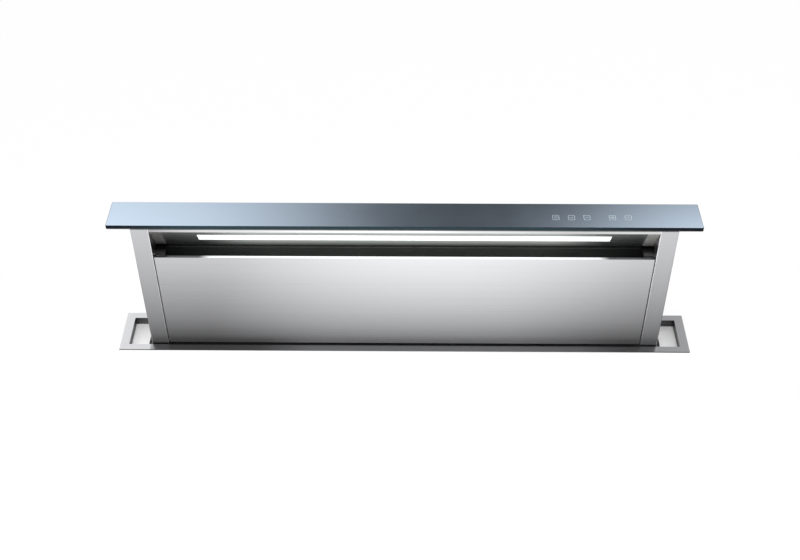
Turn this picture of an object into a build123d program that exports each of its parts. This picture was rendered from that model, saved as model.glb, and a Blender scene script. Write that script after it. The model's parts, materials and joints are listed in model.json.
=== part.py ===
"""A downdraft vent: a glass-topped tower that rises out of a trim frame in the worktop.

Millimetres, +Z up, +X to the user's right, -Y towards the user. The origin is the centre of
the trim frame in the plane of the worktop. The tower is drawn raised.
"""

import os
from math import cos, hypot, radians, sin

from build123d import *

os.makedirs("parts", exist_ok=True)

# ---------------------------------------------------------------- driving sizes
sheet = 1.2  # wall of the folded steel pieces
heavy_sheet = 2.5  # wall of the legs, clamps and motor plate
running_clearance = 0.05  # radial, between a pin or shaft and its bore
moving_gap = 0.4  # least gap between pieces that slide past each other

# trim frame and its recess
frame_length = 1180.0
frame_depth = 108.0
rim_corner = 0.5
frame_height = 2.5  # how far it stands above the worktop
rim_width_at_ends = 18.0
rim_width_along = 15.0
recess_drop = 18.0  # from the rim down to the recess floor
opening_gap_ends = 11.5  # from the tower to the edge of the recess floor
opening_gap_along = 1.75
seal_band = 0.8  # gap from the recess wall to the foam under the rim

# glass top
recess_gap = 2.75  # between the glass and the recess wall when lowered
glass_thickness = 8.0
glass_corner = 2.0
glass_bevel = 0.8
carrier_thickness = 1.5
carrier_inset = 1.0

# tower
travel = 317.5
glass_overhang = 45.25
post_width = 35.0
post_wall = 1.5
post_edge = 2.0
tower_in_casing = 230.0  # what stays below the worktop when raised
lip_height = 6.0
fascia_back = 37.5  # how far the fascia leans back
fascia_fall = 64.0  # how far it comes down
fascia_end_gap = 0.6
lamp_end_gap = 90.0  # from the posts to the lamp
lamp_height = 26.5
lamp_from_lip = 17.75
lamp_gap = 0.5
lamp_thickness = 4.0
lamp_bevel = 0.4
lamp_housing_depth = 14.0
lamp_housing_lap = 4.0
lamp_housing_wall = 1.5
led_board_inset = 5.0
led_end = 20.0
led_height = 1.0
led_count = 24
led_size = 5.0
touch_length = 172.0
touch_depth = 30.0
touch_from_end = 209.25  # from the right end of the glass to the middle of the keys
touch_y = -6.0
touch_case_height = 5.0
touch_case_inset = 4.0
touch_window_gap = 1.0
ledge_width = 22.5
ledge_drop = 2.0
ledge_gap = 2.25  # from the panel's top fold back to the ledges
magnet_inset = 4.5
magnet_width = 16.0
magnet_height = 10.0
ledge_rise = 2.0  # from the fascia's lower edge up to the ledge
ledge_leaf_gap = 1.5  # from the lip down to the ledges' leaves

# front panel
panel_end_gap = 2.0
panel_drop = 2.7  # from the ledges down to the panel's top edge
panel_foot_gap = 4.0  # from the rim up to the panel
panel_return = 9.0
panel_top_return = 6.0
hinge_pin_diameter = 3.5
hinge_rise = 4.0  # from the panel's bottom edge to the pin
hinge_pin_head = 5.0
hinge_pin_head_length = 2.0
lower_front_gap = 3.5  # from the panel down to the fixed wall

# grease filters
filter_count = 3
filter_gap = 1.5
filter_thickness = 9.0
filter_border = 12.0
filter_core = 4.0
filter_foot_y = -16.5
filter_foot_z = 15.0
filter_head_y = 8.0
filter_head_z = 234.0
mesh_columns = 13
mesh_rows = 8
mesh_bar = 5.0
latch_length = 36.0
latch_width = 8.0
latch_corner = 3.0
latch_thickness = 3.0
filter_seat_gap = 1.8
rail_front_lip = 3.0
rail_rear_lip = 8.0

# casing below the worktop
casing_beyond_tower = 36.0
casing_depth = 88.0
casing_foot_room = 52.5  # below the lowered tower
wiper_thickness = 3.3
side_flange = 12.0
casing_screw_pitch = 110.0
casing_screw_end = 30.0
screw_shank = 4.0
screw_head = 8.0
screw_head_height = 2.4
screw_reach = 7.0
screw_clearance = 0.15
screw_end_room = 1.0  # left below a screw in a blind hole

# lifting gear
rod_diameter = 12.0
screw_diameter = 14.0
screw_relief = 1.0  # radial, in the blocks beyond the bearings
lift_from_tower = 18.0  # from the tower's side to the rods and screws
lift_spread = 18.0  # rods this far in front of the centre, screws this far behind
bush_diameter = 18.0
nut_diameter = 24.0
nut_flange = 28.0
nut_flange_height = 4.0
carriage_width = 32.0
carriage_depth = 70.0
carriage_height = 28.0
carriage_lift = 2.0  # above the tower's lower end
bearing_diameter = 22.0
bearing_height = 7.0
top_block_height = 20.0
top_block_drop = 4.0
top_block_gap = 4.0
top_block_cap = 6.0  # solid above the screws
rod_cap = 2.0  # solid above the rods
screw_end_gap = 3.0
pulley_diameter = 26.0
pulley_height = 12.0
pulley_teeth = 26
pulley_groove = 1.4
pulley_gap = 1.5
belt_width = 8.0
belt_thickness = 1.6
journal_diameter = 10.0
journal_length = 16.0
gearbox_side = 50.0
gearbox_height = 30.0
gearbox_corner = 5.0
motor_diameter = 38.0
motor_height = 54.0
motor_bevel = 2.0
switch_height = 14.0
switch_width = 12.0
switch_depth = 16.0
plunger_diameter = 4.0
plunger_reach = 10.0
pad_width = 25.0
pad_height = 30.0
pad_drop = 10.0
pad_inset = 5.0

# blower
blower_from_end = 410.0  # from the casing's left end to the fan's axis
blower_rise = 200.0  # from the casing's bottom to the fan's axis
inlet_diameter = 164.0
impeller_diameter = 210.0
impeller_blades = 32
blade_thickness = 1.2
blade_chord = 18.0
blade_inset = 1.5
blade_angle = 35.0
impeller_ring = 3.0
impeller_width = 73.0
impeller_inlet_gap = 8.0
hub_diameter = 28.0
hub_length = 30.0
hub_hole = 40.0
fan_shaft_diameter = 8.0
scroll_start = 118.0
scroll_end = 160.0
scroll_wall = 2.0
scroll_width = 87.0
scroll_tongue_angle = 150.0
scroll_points = 12
outlet_floor = 50.0
outlet_reach = 150.0
adapter_inset = 1.0
adapter_corner = 4.0
box_left = 205.0
box_right = 165.0
box_up = 175.0
box_down = 155.0
box_depth = 165.0
box_flange = 12.0
cover_screw_pitch = 130.0
fan_motor_diameter = 96.0
fan_motor_length = 58.0
motor_end_wall = 5.0
motor_round = 6.0
motor_fins = 24
fin_slot = 3.0
fin_margin = 12.0
rubber_mount_diameter = 16.0
rubber_mount_height = 6.0
rubber_mount_circle = 76.0
spigot_diameter = 150.0
spigot_wall = 1.5
spigot_length = 80.0
spigot_flange = 162.0
spigot_from_top = 90.0
flap_gap = 1.2
flap_thickness = 1.0
flap_pin_diameter = 3.0
flap_knuckle_diameter = 5.4
flap_knuckle_gap = 3.0
flap_pin_spacing = 8.0
flap_inset = 6.0

# electrics
control_from_end = 130.0  # from the casing's right end
control_width = 200.0
control_drop = 180.0  # from the worktop to the box's top
control_height = 160.0
control_depth = 60.0
control_wall = 1.5
board_margin = 18.0
board_standoff = 8.0
board_thickness = 1.6
standoff_diameter = 7.0
standoff_inset = 6.0
transformer_width = 40.0
transformer_inset = 20.0
transformer_height = 30.0
relay_count = 4
relay_pitch = 18.0
relay_width = 14.0
relay_height = 28.0
relay_depth = 16.0
terminal_count = 5
terminal_inset = 4.0
terminal_pitch = 12.0
terminal_height = 18.0
terminal_depth = 16.0
terminal_hole = 5.0
gland_thread = 20.0
gland_nut = 26.0
gland_bore = 8.0
gland_length = 24.0
gland_nut_height = 5.0
gland_cap_height = 13.0
gland_spare_thread = 3.0
gland_from_left = 35.0
control_post = 9.0
control_screw_inset = 8.0

# legs
leg_inset = 80.0  # from the casing's end to the leg
leg_drop = 100.0  # from the casing down to the cabinet floor
leg_flange = 40.0
leg_reach = 190.0  # how far the foot runs forward of the centre
leg_heel = 7.5
leg_hole_diameter = 6.5
leg_hole_inset = 22.0
leg_toe = 10.0
leg_screw_inset = 20.0

# worktop clamps
clamp_arm = 26.0
clamp_width = 30.0
clamp_drop = 80.0  # from the worktop's surface to the clamp's arm
clamp_screw_diameter = 6.0
clamp_screw_length = 46.0
clamp_pad_diameter = 16.0
clamp_pad_thickness = 3.0
clamp_nut = 10.0  # across the flats
clamp_nut_height = 5.0
clamp_screw_tail = 3.0

# ---------------------------------------------------------------- sizes that follow
recess_length = frame_length - 2 * rim_width_at_ends
recess_width = frame_depth - 2 * rim_width_along
recess_floor_z = frame_height - recess_drop
glass_length = recess_length - 2 * recess_gap
glass_depth = recess_width - 2 * recess_gap
glass_top_z = frame_height + travel
carrier_top_z = glass_top_z - glass_thickness
head_top_z = carrier_top_z - carrier_thickness
lip_under_z = head_top_z - lip_height

tower_side_x = glass_length / 2 - glass_overhang
post_inner_x = tower_side_x - post_width
tower_front_y = -glass_depth / 2
tower_rear_y = glass_depth / 2
tower_bottom_z = -tower_in_casing
lamp_length = 2 * (post_inner_x - lamp_end_gap)
touch_x = glass_length / 2 - touch_from_end

fascia_top_y = tower_front_y + sheet
fascia_foot_y = fascia_top_y + fascia_back
fascia_foot_z = lip_under_z - fascia_fall
fascia_length = hypot(fascia_back, fascia_fall)

panel_half = post_inner_x - panel_end_gap
panel_bottom_z = frame_height + panel_foot_gap
ledge_top_z = fascia_foot_z + ledge_rise
ledge_rear_y = fascia_foot_y - ledge_rise * fascia_back / fascia_fall
panel_top_z = ledge_top_z - panel_drop
ledge_front_y = tower_front_y + panel_top_return + ledge_gap
hinge_y = tower_front_y + panel_return / 2
hinge_z = panel_bottom_z + hinge_rise
lower_front_top_z = panel_bottom_z - lower_front_gap
panel_inner_y = tower_front_y + sheet

casing_top_z = recess_floor_z - sheet - wiper_thickness
casing_bottom_z = tower_bottom_z - travel - casing_foot_room
casing_side_x = tower_side_x + casing_beyond_tower
casing_front_y = -casing_depth / 2
casing_rear_y = casing_depth / 2
casing_inner_x = casing_side_x - sheet
casing_inner_y = casing_rear_y - sheet
casing_floor_z = casing_bottom_z + sheet

lift_x = tower_side_x + lift_from_tower
rod_y = -lift_spread
screw_y = lift_spread
carriage_bottom_z = tower_bottom_z + carriage_lift
carriage_top_z = carriage_bottom_z + carriage_height
top_block_top_z = casing_top_z - top_block_drop
top_block_bottom_z = top_block_top_z - top_block_height
lower_bearing_top_z = casing_floor_z + bearing_height
pulley_bottom_z = lower_bearing_top_z + pulley_gap
screw_bottom_z = casing_floor_z + screw_end_gap
screw_top_z = top_block_top_z - top_block_cap - screw_end_gap

blower_x = -casing_side_x + blower_from_end
blower_z = casing_bottom_z + blower_rise
box_front_y = casing_front_y - box_depth
scroll_plate_y = casing_front_y - scroll_wall
scroll_front_y = scroll_plate_y - scroll_width
box_left_x = blower_x - box_left
box_right_x = blower_x + box_right
box_top_z = blower_z + box_up
box_bottom_z = blower_z - box_down
spigot_y = (casing_front_y + box_front_y) / 2
spigot_z = box_top_z - spigot_from_top
spigot_bore_radius = spigot_diameter / 2 - spigot_wall

floor_z = casing_bottom_z - leg_drop

sides = ((-1, "left"), (1, "right"))

# ---------------------------------------------------------------- helpers


def block(x, y, z, mode=Mode.ADD):
    """A box between two values on each axis, in the piece that is being built."""
    with Locations(((x[0] + x[1]) / 2, (y[0] + y[1]) / 2, (z[0] + z[1]) / 2)):
        Box(x[1] - x[0], y[1] - y[0], z[1] - z[0], mode=mode)


def rod(x, y, z, diameter, mode=Mode.ADD):
    """An upright cylinder between two heights."""
    with Locations((x, y, (z[0] + z[1]) / 2)):
        Cylinder(diameter / 2, z[1] - z[0], mode=mode)


def axle(x, y, z, diameter, mode=Mode.ADD):
    """A cylinder along X between two values of x."""
    with Locations(((x[0] + x[1]) / 2, y, z)):
        Cylinder(diameter / 2, x[1] - x[0], rotation=(0, 90, 0), mode=mode)


def arbor(x, y, z, diameter, mode=Mode.ADD):
    """A cylinder along Y between two values of y."""
    with Locations((x, (y[0] + y[1]) / 2, z)):
        Cylinder(diameter / 2, y[1] - y[0], rotation=(90, 0, 0), mode=mode)


def write(piece, label):
    """Names a finished piece and writes its file."""
    piece.part.label = label
    export_step(piece.part, f"parts/{label}.step")


def spread(first, last, pitch):
    """Evenly spaced values from first to last, about one pitch apart."""
    steps = max(1, round(abs(last - first) / pitch))
    return [first + (last - first) * i / steps for i in range(steps + 1)]


# ---------------------------------------------------------------- trim frame

with BuildPart() as worktop_frame:
    with BuildSketch(Plane.XY.offset(frame_height - sheet)):
        Rectangle(frame_length, frame_depth)
        Rectangle(recess_length, recess_width, mode=Mode.SUBTRACT)
    extrude(amount=sheet)
    with BuildSketch(Plane.XY):
        Rectangle(frame_length, frame_depth)
        Rectangle(frame_length - 2 * sheet, frame_depth - 2 * sheet, mode=Mode.SUBTRACT)
    extrude(amount=frame_height - sheet)
    with BuildSketch(Plane.XY.offset(recess_floor_z - sheet)):
        Rectangle(recess_length + 2 * sheet, recess_width + 2 * sheet)
        Rectangle(recess_length, recess_width, mode=Mode.SUBTRACT)
    extrude(amount=recess_drop)
    with BuildSketch(Plane.XY.offset(recess_floor_z - sheet)):
        Rectangle(recess_length + 2 * sheet, recess_width + 2 * sheet)
        Rectangle(
            2 * (tower_side_x + opening_gap_ends),
            2 * (tower_rear_y + opening_gap_along),
            mode=Mode.SUBTRACT,
        )
    extrude(amount=sheet)
    fillet(worktop_frame.edges().filter_by(Axis.Z).group_by(SortBy.LENGTH)[0], rim_corner)
write(worktop_frame, "worktop_frame")

with BuildPart() as flange_seal:
    with BuildSketch(Plane.XY):
        Rectangle(frame_length - 2 * sheet, frame_depth - 2 * sheet)
        Rectangle(
            recess_length + 2 * sheet + 2 * seal_band,
            recess_width + 2 * sheet + 2 * seal_band,
            mode=Mode.SUBTRACT,
        )
    extrude(amount=frame_height - sheet)
write(flange_seal, "flange_seal")

with BuildPart() as wiper_seal:
    with BuildSketch(Plane.XY.offset(casing_top_z)):
        Rectangle(2 * casing_side_x, casing_depth)
        Rectangle(
            2 * (tower_side_x + moving_gap),
            2 * (tower_rear_y + moving_gap),
            mode=Mode.SUBTRACT,
        )
    extrude(amount=wiper_thickness)
write(wiper_seal, "wiper_seal")

# ---------------------------------------------------------------- casing

screw_hole = screw_shank + 2 * screw_clearance
edge_screw_x = casing_side_x - side_flange / 2 - sheet
edge_screw_z = spread(
    casing_top_z - casing_screw_end, casing_bottom_z + casing_screw_end, casing_screw_pitch
)
edge_screws = [(side * edge_screw_x, z) for side in (-1, 1) for z in edge_screw_z]


def edge_screw_holes(y, depth):
    """The clearance holes of the screws down both ends of a casing sheet."""
    for x, z in edge_screws:
        arbor(x, (y, y + depth), z, screw_hole, Mode.SUBTRACT)


with BuildPart() as casing_front:
    block(
        (-casing_side_x, casing_side_x),
        (casing_front_y, -casing_inner_y),
        (casing_bottom_z, casing_top_z),
    )
    arbor(blower_x, (casing_front_y, -casing_inner_y), blower_z, inlet_diameter, Mode.SUBTRACT)
    edge_screw_holes(casing_front_y, sheet)
write(casing_front, "casing_front")

with BuildPart() as casing_rear:
    block(
        (-casing_side_x, casing_side_x),
        (casing_inner_y, casing_rear_y),
        (casing_bottom_z, casing_top_z),
    )
    edge_screw_holes(casing_inner_y, sheet)
write(casing_rear, "casing_rear")


with BuildPart() as casing_ends:
    for side in (-1, 1):
        web = sorted((side * casing_side_x, side * casing_inner_x))
        flange = sorted((side * casing_side_x, side * (casing_side_x - side_flange)))
        block(web, (-casing_inner_y, casing_inner_y), (casing_bottom_z, casing_top_z))
        for y in (-casing_inner_y, casing_inner_y - sheet):
            block(flange, (y, y + sheet), (casing_floor_z, casing_top_z))
    for y in (-casing_inner_y, casing_inner_y - sheet):
        edge_screw_holes(y, sheet)
write(casing_ends, "casing_ends")

leg_x = casing_side_x - leg_inset
leg_screw_y = casing_rear_y - leg_screw_inset
leg_screws = [
    (side * (leg_x - leg_flange / 2), y) for side in (-1, 1) for y in (-leg_screw_y, leg_screw_y)
]

with BuildPart() as casing_base:
    block(
        (-casing_inner_x, casing_inner_x),
        (-casing_inner_y, casing_inner_y),
        (casing_bottom_z, casing_floor_z),
    )
    journal_hole = journal_diameter + 2 * screw_relief
    rod(lift_x, screw_y, (casing_bottom_z, casing_floor_z), journal_hole, Mode.SUBTRACT)
    for x, y in leg_screws:
        rod(x, y, (casing_bottom_z, casing_floor_z), screw_hole, Mode.SUBTRACT)
write(casing_base, "casing_base")

# ---------------------------------------------------------------- legs


leg_heel_y = casing_rear_y + leg_heel
foot_hole_y = (-leg_reach + leg_hole_inset, leg_heel_y - leg_hole_inset)

with BuildPart() as support_legs:
    for side in (-1, 1):
        outer = side * leg_x
        web_x = min(outer, outer - side * heavy_sheet)
        flange = sorted((outer, outer - side * leg_flange))
        with BuildSketch(Plane.YZ.offset(web_x)):
            Polygon(
                (leg_heel_y, floor_z),
                (leg_heel_y, casing_bottom_z),
                (casing_front_y, casing_bottom_z),
                (-leg_reach, floor_z + leg_toe),
                (-leg_reach, floor_z),
                align=None,
            )
        extrude(amount=heavy_sheet)
        block(flange, (-leg_reach, leg_heel_y), (floor_z, floor_z + heavy_sheet))
        top_z = (casing_bottom_z - heavy_sheet, casing_bottom_z)
        block(flange, (casing_front_y, leg_heel_y), top_z)
        for y in foot_hole_y:
            foot_z = (floor_z, floor_z + heavy_sheet)
            rod(outer - side * leg_flange / 2, y, foot_z, leg_hole_diameter, Mode.SUBTRACT)
    for x, y in leg_screws:
        rod(x, y, (casing_bottom_z - heavy_sheet, casing_bottom_z), screw_hole, Mode.SUBTRACT)
write(support_legs, "support_legs")

# ---------------------------------------------------------------- worktop clamps

clamp_top_z = -clamp_drop + heavy_sheet
clamp_screw_x = casing_side_x + clamp_arm / 2
clamp_hole = clamp_screw_diameter + 2 * screw_clearance
clamp_screw_bottom_z = -clamp_drop - clamp_nut_height - clamp_screw_tail
clamp_screw_top_z = clamp_screw_bottom_z + clamp_screw_length

with BuildPart() as worktop_clamps:
    for side in (-1, 1):
        foot = sorted((side * casing_side_x, side * (casing_side_x + heavy_sheet)))
        arm = sorted((side * casing_side_x, side * (casing_side_x + clamp_arm)))
        width = (-clamp_width / 2, clamp_width / 2)
        block(foot, width, (-clamp_drop - clamp_width, clamp_top_z))
        block(arm, width, (-clamp_drop, clamp_top_z))
        rod(side * clamp_screw_x, 0, (-clamp_drop, clamp_top_z), clamp_hole, Mode.SUBTRACT)
write(worktop_clamps, "worktop_clamps")

with BuildPart() as clamp_screws:
    for side in (-1, 1):
        x = side * clamp_screw_x
        rod(x, 0, (clamp_screw_bottom_z, clamp_screw_top_z), clamp_screw_diameter)
        pad_z = (clamp_screw_top_z - clamp_pad_thickness, clamp_screw_top_z)
        rod(x, 0, pad_z, clamp_pad_diameter)
        for low in (-clamp_drop - clamp_nut_height, clamp_top_z):
            with BuildSketch(Plane.XY.offset(low)):
                with Locations((x, 0)):
                    RegularPolygon(clamp_nut / 2, 6, major_radius=False)
            extrude(amount=clamp_nut_height)
write(clamp_screws, "clamp_screws")

# ---------------------------------------------------------------- lifting gear


with BuildPart() as guide_rods:
    for side in (-1, 1):
        rod(side * lift_x, rod_y, (casing_floor_z, top_block_top_z - rod_cap), rod_diameter)
write(guide_rods, "guide_rods")

with BuildPart() as top_blocks:
    for side in (-1, 1):
        span = sorted((side * (tower_side_x + top_block_gap), side * casing_inner_x))
        z = (top_block_bottom_z, top_block_top_z)
        block(span, (-carriage_depth / 2, carriage_depth / 2), z)
        rod(side * lift_x, rod_y, (z[0], z[1] - rod_cap), rod_diameter, Mode.SUBTRACT)
        seat = (z[0], z[0] + bearing_height)
        rod(side * lift_x, screw_y, seat, bearing_diameter, Mode.SUBTRACT)
        hole_z = (z[0], z[1] - top_block_cap)
        rod(side * lift_x, screw_y, hole_z, screw_diameter + 2 * screw_relief, Mode.SUBTRACT)
write(top_blocks, "top_blocks")

with BuildPart() as screw_bearings:
    for side in (-1, 1):
        for low in (casing_floor_z, top_block_bottom_z):
            z = (low, low + bearing_height)
            rod(side * lift_x, screw_y, z, bearing_diameter)
            rod(side * lift_x, screw_y, z, screw_diameter + 2 * running_clearance, Mode.SUBTRACT)
write(screw_bearings, "screw_bearings")


journal_z = (screw_bottom_z - journal_length, screw_bottom_z)

for side, name in sides:
    with BuildPart() as lead_screw:
        rod(side * lift_x, screw_y, (screw_bottom_z, screw_top_z), screw_diameter)
        if side > 0:  # only the right-hand screw is driven by the motor
            rod(lift_x, screw_y, journal_z, journal_diameter)
    write(lead_screw, f"{name}_lead_screw")

for side, name in sides:
    with BuildPart() as pulley:
        with BuildSketch(Plane.XY.offset(pulley_bottom_z)):
            with Locations((side * lift_x, screw_y)):
                Circle(pulley_diameter / 2)
                Circle(screw_diameter / 2, mode=Mode.SUBTRACT)
                with PolarLocations(pulley_diameter / 2, pulley_teeth):
                    Circle(pulley_groove / 2, mode=Mode.SUBTRACT)
        extrude(amount=pulley_height)
    write(pulley, f"{name}_pulley")

with BuildPart() as timing_belt:
    inner = pulley_diameter / 2 + moving_gap
    with BuildSketch(Plane.XY.offset(pulley_bottom_z + (pulley_height - belt_width) / 2)):
        with Locations((0, screw_y)):
            SlotCenterToCenter(2 * lift_x, 2 * (inner + belt_thickness))
            SlotCenterToCenter(2 * lift_x, 2 * inner, mode=Mode.SUBTRACT)
    extrude(amount=belt_width)
write(timing_belt, "timing_belt")

gearbox_bottom_z = casing_bottom_z - gearbox_height

with BuildPart() as lift_motor:
    half = gearbox_side / 2
    block(
        (lift_x - half, lift_x + half),
        (screw_y - half, screw_y + half),
        (gearbox_bottom_z, casing_bottom_z),
    )
    fillet(lift_motor.edges().filter_by(Axis.Z), gearbox_corner)
    rod(lift_x, screw_y, (gearbox_bottom_z - motor_height, gearbox_bottom_z), motor_diameter)
    chamfer(lift_motor.faces().sort_by(Axis.Z)[0].edges(), motor_bevel)
    bore_z = (journal_z[0] - moving_gap, casing_bottom_z)
    bore = journal_diameter + 2 * running_clearance
    rod(lift_x, screw_y, bore_z, bore, Mode.SUBTRACT)
write(lift_motor, "lift_motor")

switch_x = (casing_inner_x - switch_width, casing_inner_x)
switch_y = (-switch_depth / 2, switch_depth / 2)
plunger_x = casing_inner_x - switch_width / 2
lowest_carriage_z = carriage_bottom_z - travel

with BuildPart() as limit_switches:
    upper = carriage_top_z + plunger_reach
    block(switch_x, switch_y, (upper, upper + switch_height))
    rod(plunger_x, 0, (carriage_top_z + moving_gap, upper), plunger_diameter)
    lower = lowest_carriage_z - plunger_reach
    block(switch_x, switch_y, (lower - switch_height, lower))
    rod(plunger_x, 0, (lower, lowest_carriage_z - moving_gap), plunger_diameter)
write(limit_switches, "limit_switches")

with BuildPart() as glide_pads:
    top = casing_top_z - pad_drop
    for side in (-1, 1):
        outer = side * (tower_side_x - pad_inset)
        x = sorted((outer, outer - side * pad_width))
        for face in (-1, 1):
            y = sorted((face * (tower_rear_y + moving_gap), face * casing_inner_y))
            block(x, y, (top - pad_height, top))
write(glide_pads, "glide_pads")

# ---------------------------------------------------------------- blower


def scroll_outline(wall, reach):
    """The spiral of the blower's scroll with its outlet to the left, grown by a wall."""
    sweep = 450 - scroll_tongue_angle
    points = []
    for i in range(scroll_points + 1):
        angle = radians(scroll_tongue_angle + sweep * i / scroll_points)
        radius = scroll_start + (scroll_end - scroll_start) * i / scroll_points + wall
        points.append((blower_x + radius * cos(angle), blower_z + radius * sin(angle)))
    top = blower_z + scroll_end + wall
    floor = blower_z + outlet_floor - wall
    left = blower_x - reach
    with BuildSketch(Plane.XY) as outline:
        with BuildLine():
            Spline(*points)
            Polyline(points[-1], (left, top), (left, floor), points[0])
        make_face()
    return outline.sketch


cover_screw_inset = (box_flange + sheet) / 2
cover_x = spread(box_left_x + cover_screw_inset, box_right_x - cover_screw_inset, cover_screw_pitch)
cover_z = (box_bottom_z + cover_screw_inset, box_top_z - cover_screw_inset)
cover_screws = [(x, z) for x in cover_x for z in cover_z]
box_middle = ((box_left_x + box_right_x) / 2, (box_top_z + box_bottom_z) / 2)
box_width = box_right_x - box_left_x
box_height = box_top_z - box_bottom_z

with BuildPart() as blower_box:
    with BuildSketch(Plane.XZ.offset(-casing_front_y)):
        with Locations(box_middle):
            Rectangle(box_width, box_height)
            Rectangle(box_width - 2 * sheet, box_height - 2 * sheet, mode=Mode.SUBTRACT)
    extrude(amount=box_depth)
    with BuildSketch(Plane.XZ.offset(-casing_front_y)):
        with Locations(box_middle):
            Rectangle(box_width + 2 * box_flange, box_height + 2 * box_flange)
            Rectangle(box_width, box_height, mode=Mode.SUBTRACT)
    extrude(amount=sheet)
    with BuildSketch(Plane.XZ.offset(-box_front_y - sheet)):
        with Locations(box_middle):
            Rectangle(box_width, box_height)
            Rectangle(box_width - 2 * box_flange, box_height - 2 * box_flange, mode=Mode.SUBTRACT)
    extrude(amount=sheet)
    wall_x = (box_left_x, box_left_x + sheet)
    axle(wall_x, spigot_y, spigot_z, 2 * spigot_bore_radius, Mode.SUBTRACT)
    for x, z in cover_screws:
        arbor(x, (box_front_y, box_front_y + sheet), z, screw_hole, Mode.SUBTRACT)
write(blower_box, "blower_box")

with BuildPart() as blower_cover:
    block(
        (box_left_x, box_right_x),
        (box_front_y - sheet, box_front_y),
        (box_bottom_z, box_top_z),
    )
    for x, z in cover_screws:
        arbor(x, (box_front_y - sheet, box_front_y), z, screw_hole, Mode.SUBTRACT)
write(blower_cover, "blower_cover")

with BuildPart() as scroll_inlet_plate:
    with BuildSketch(Plane.XZ.offset(-casing_front_y)):
        add(scroll_outline(scroll_wall, outlet_reach))
        with Locations((blower_x, blower_z)):
            Circle(inlet_diameter / 2, mode=Mode.SUBTRACT)
    extrude(amount=scroll_wall)
    with BuildSketch(Plane.XZ.offset(-casing_front_y)):
        with Locations((blower_x, blower_z)):
            Circle(inlet_diameter / 2)
            Circle(inlet_diameter / 2 - scroll_wall, mode=Mode.SUBTRACT)
    extrude(amount=impeller_inlet_gap)
write(scroll_inlet_plate, "scroll_inlet_plate")

with BuildPart() as scroll_shell:
    with BuildSketch(Plane.XZ.offset(-scroll_plate_y)):
        add(scroll_outline(scroll_wall, outlet_reach))
    extrude(amount=scroll_width)
    with BuildSketch(Plane.XZ.offset(-scroll_plate_y)):
        add(scroll_outline(0, outlet_reach + box_flange))
    extrude(amount=scroll_width - scroll_wall, mode=Mode.SUBTRACT)
    arbor(
        blower_x,
        (scroll_front_y, scroll_front_y + scroll_wall),
        blower_z,
        hub_hole,
        Mode.SUBTRACT,
    )
write(scroll_shell, "scroll_shell")

impeller_inlet_y = scroll_plate_y - impeller_inlet_gap
impeller_disc_y = impeller_inlet_y - impeller_width
blade_outer = impeller_diameter / 2 - blade_inset
blade_inner = blade_outer - blade_chord

with BuildPart() as impeller:
    arbor(
        blower_x,
        (impeller_disc_y, impeller_disc_y + impeller_ring),
        blower_z,
        impeller_diameter,
    )
    with BuildSketch(Plane.XZ.offset(-impeller_inlet_y)):
        with Locations((blower_x, blower_z)):
            Circle(impeller_diameter / 2)
            Circle(blade_inner + impeller_ring, mode=Mode.SUBTRACT)
    extrude(amount=impeller_ring)
    with BuildSketch(Plane.XZ.offset(-impeller_inlet_y)):
        with Locations((blower_x, blower_z)):
            with PolarLocations((blade_inner + blade_outer) / 2, impeller_blades):
                Rectangle(blade_chord, blade_thickness, rotation=blade_angle)
    extrude(amount=impeller_width - impeller_ring / 2)
    hub_y = (impeller_disc_y, impeller_disc_y + hub_length)
    arbor(blower_x, hub_y, blower_z, hub_diameter)
    arbor(blower_x, hub_y, blower_z, fan_shaft_diameter, Mode.SUBTRACT)
write(impeller, "impeller")

motor_near_y = scroll_front_y - rubber_mount_height
motor_far_y = motor_near_y - fan_motor_length

with BuildPart() as fan_shaft:
    shaft_y = (motor_far_y + motor_end_wall + moving_gap, hub_y[1])
    arbor(blower_x, shaft_y, blower_z, fan_shaft_diameter)
write(fan_shaft, "fan_shaft")

with BuildPart() as rubber_mounts:
    with BuildSketch(Plane.XZ.offset(-scroll_front_y)):
        with Locations((blower_x, blower_z)):
            with PolarLocations(rubber_mount_circle / 2, 4, start_angle=45):
                Circle(rubber_mount_diameter / 2)
    extrude(amount=rubber_mount_height)
write(rubber_mounts, "rubber_mounts")

with BuildPart() as fan_motor:
    arbor(blower_x, (motor_far_y, motor_near_y), blower_z, fan_motor_diameter)
    fillet(fan_motor.faces().sort_by(Axis.Y)[0].edges(), motor_round)
    with BuildSketch(Plane.XZ.offset(-motor_near_y + fin_margin)):
        with Locations((blower_x, blower_z)):
            with PolarLocations(fan_motor_diameter / 2, motor_fins):
                Rectangle(fin_slot, fin_slot)
    extrude(amount=fan_motor_length - 2 * fin_margin - motor_round, mode=Mode.SUBTRACT)
    arbor(
        blower_x,
        (motor_far_y + motor_end_wall, motor_near_y),
        blower_z,
        fan_shaft_diameter + 2 * running_clearance,
        Mode.SUBTRACT,
    )
write(fan_motor, "fan_motor")

outlet_middle_y = scroll_plate_y - scroll_width / 2
outlet_middle_z = blower_z + (outlet_floor + scroll_end) / 2
adapter_start_x = blower_x - outlet_reach
adapter_end_x = box_left_x + sheet


adapter_width = scroll_width - scroll_wall - 2 * adapter_inset
adapter_height = scroll_end - outlet_floor - 2 * adapter_inset

with BuildPart() as outlet_adapter:
    for wall, mode in ((scroll_wall, Mode.ADD), (0, Mode.SUBTRACT)):
        with BuildSketch(Plane.YZ.offset(adapter_start_x)):
            with Locations((outlet_middle_y, outlet_middle_z)):
                RectangleRounded(
                    adapter_width + 2 * wall, adapter_height + 2 * wall, adapter_corner + wall
                )
        with BuildSketch(Plane.YZ.offset(adapter_end_x)):
            with Locations((spigot_y, spigot_z)):
                Circle(spigot_bore_radius - scroll_wall + wall)
        loft(mode=mode)
write(outlet_adapter, "outlet_adapter")

spigot_end_x = box_left_x - spigot_length
flap_x = box_left_x - flap_inset

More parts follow.
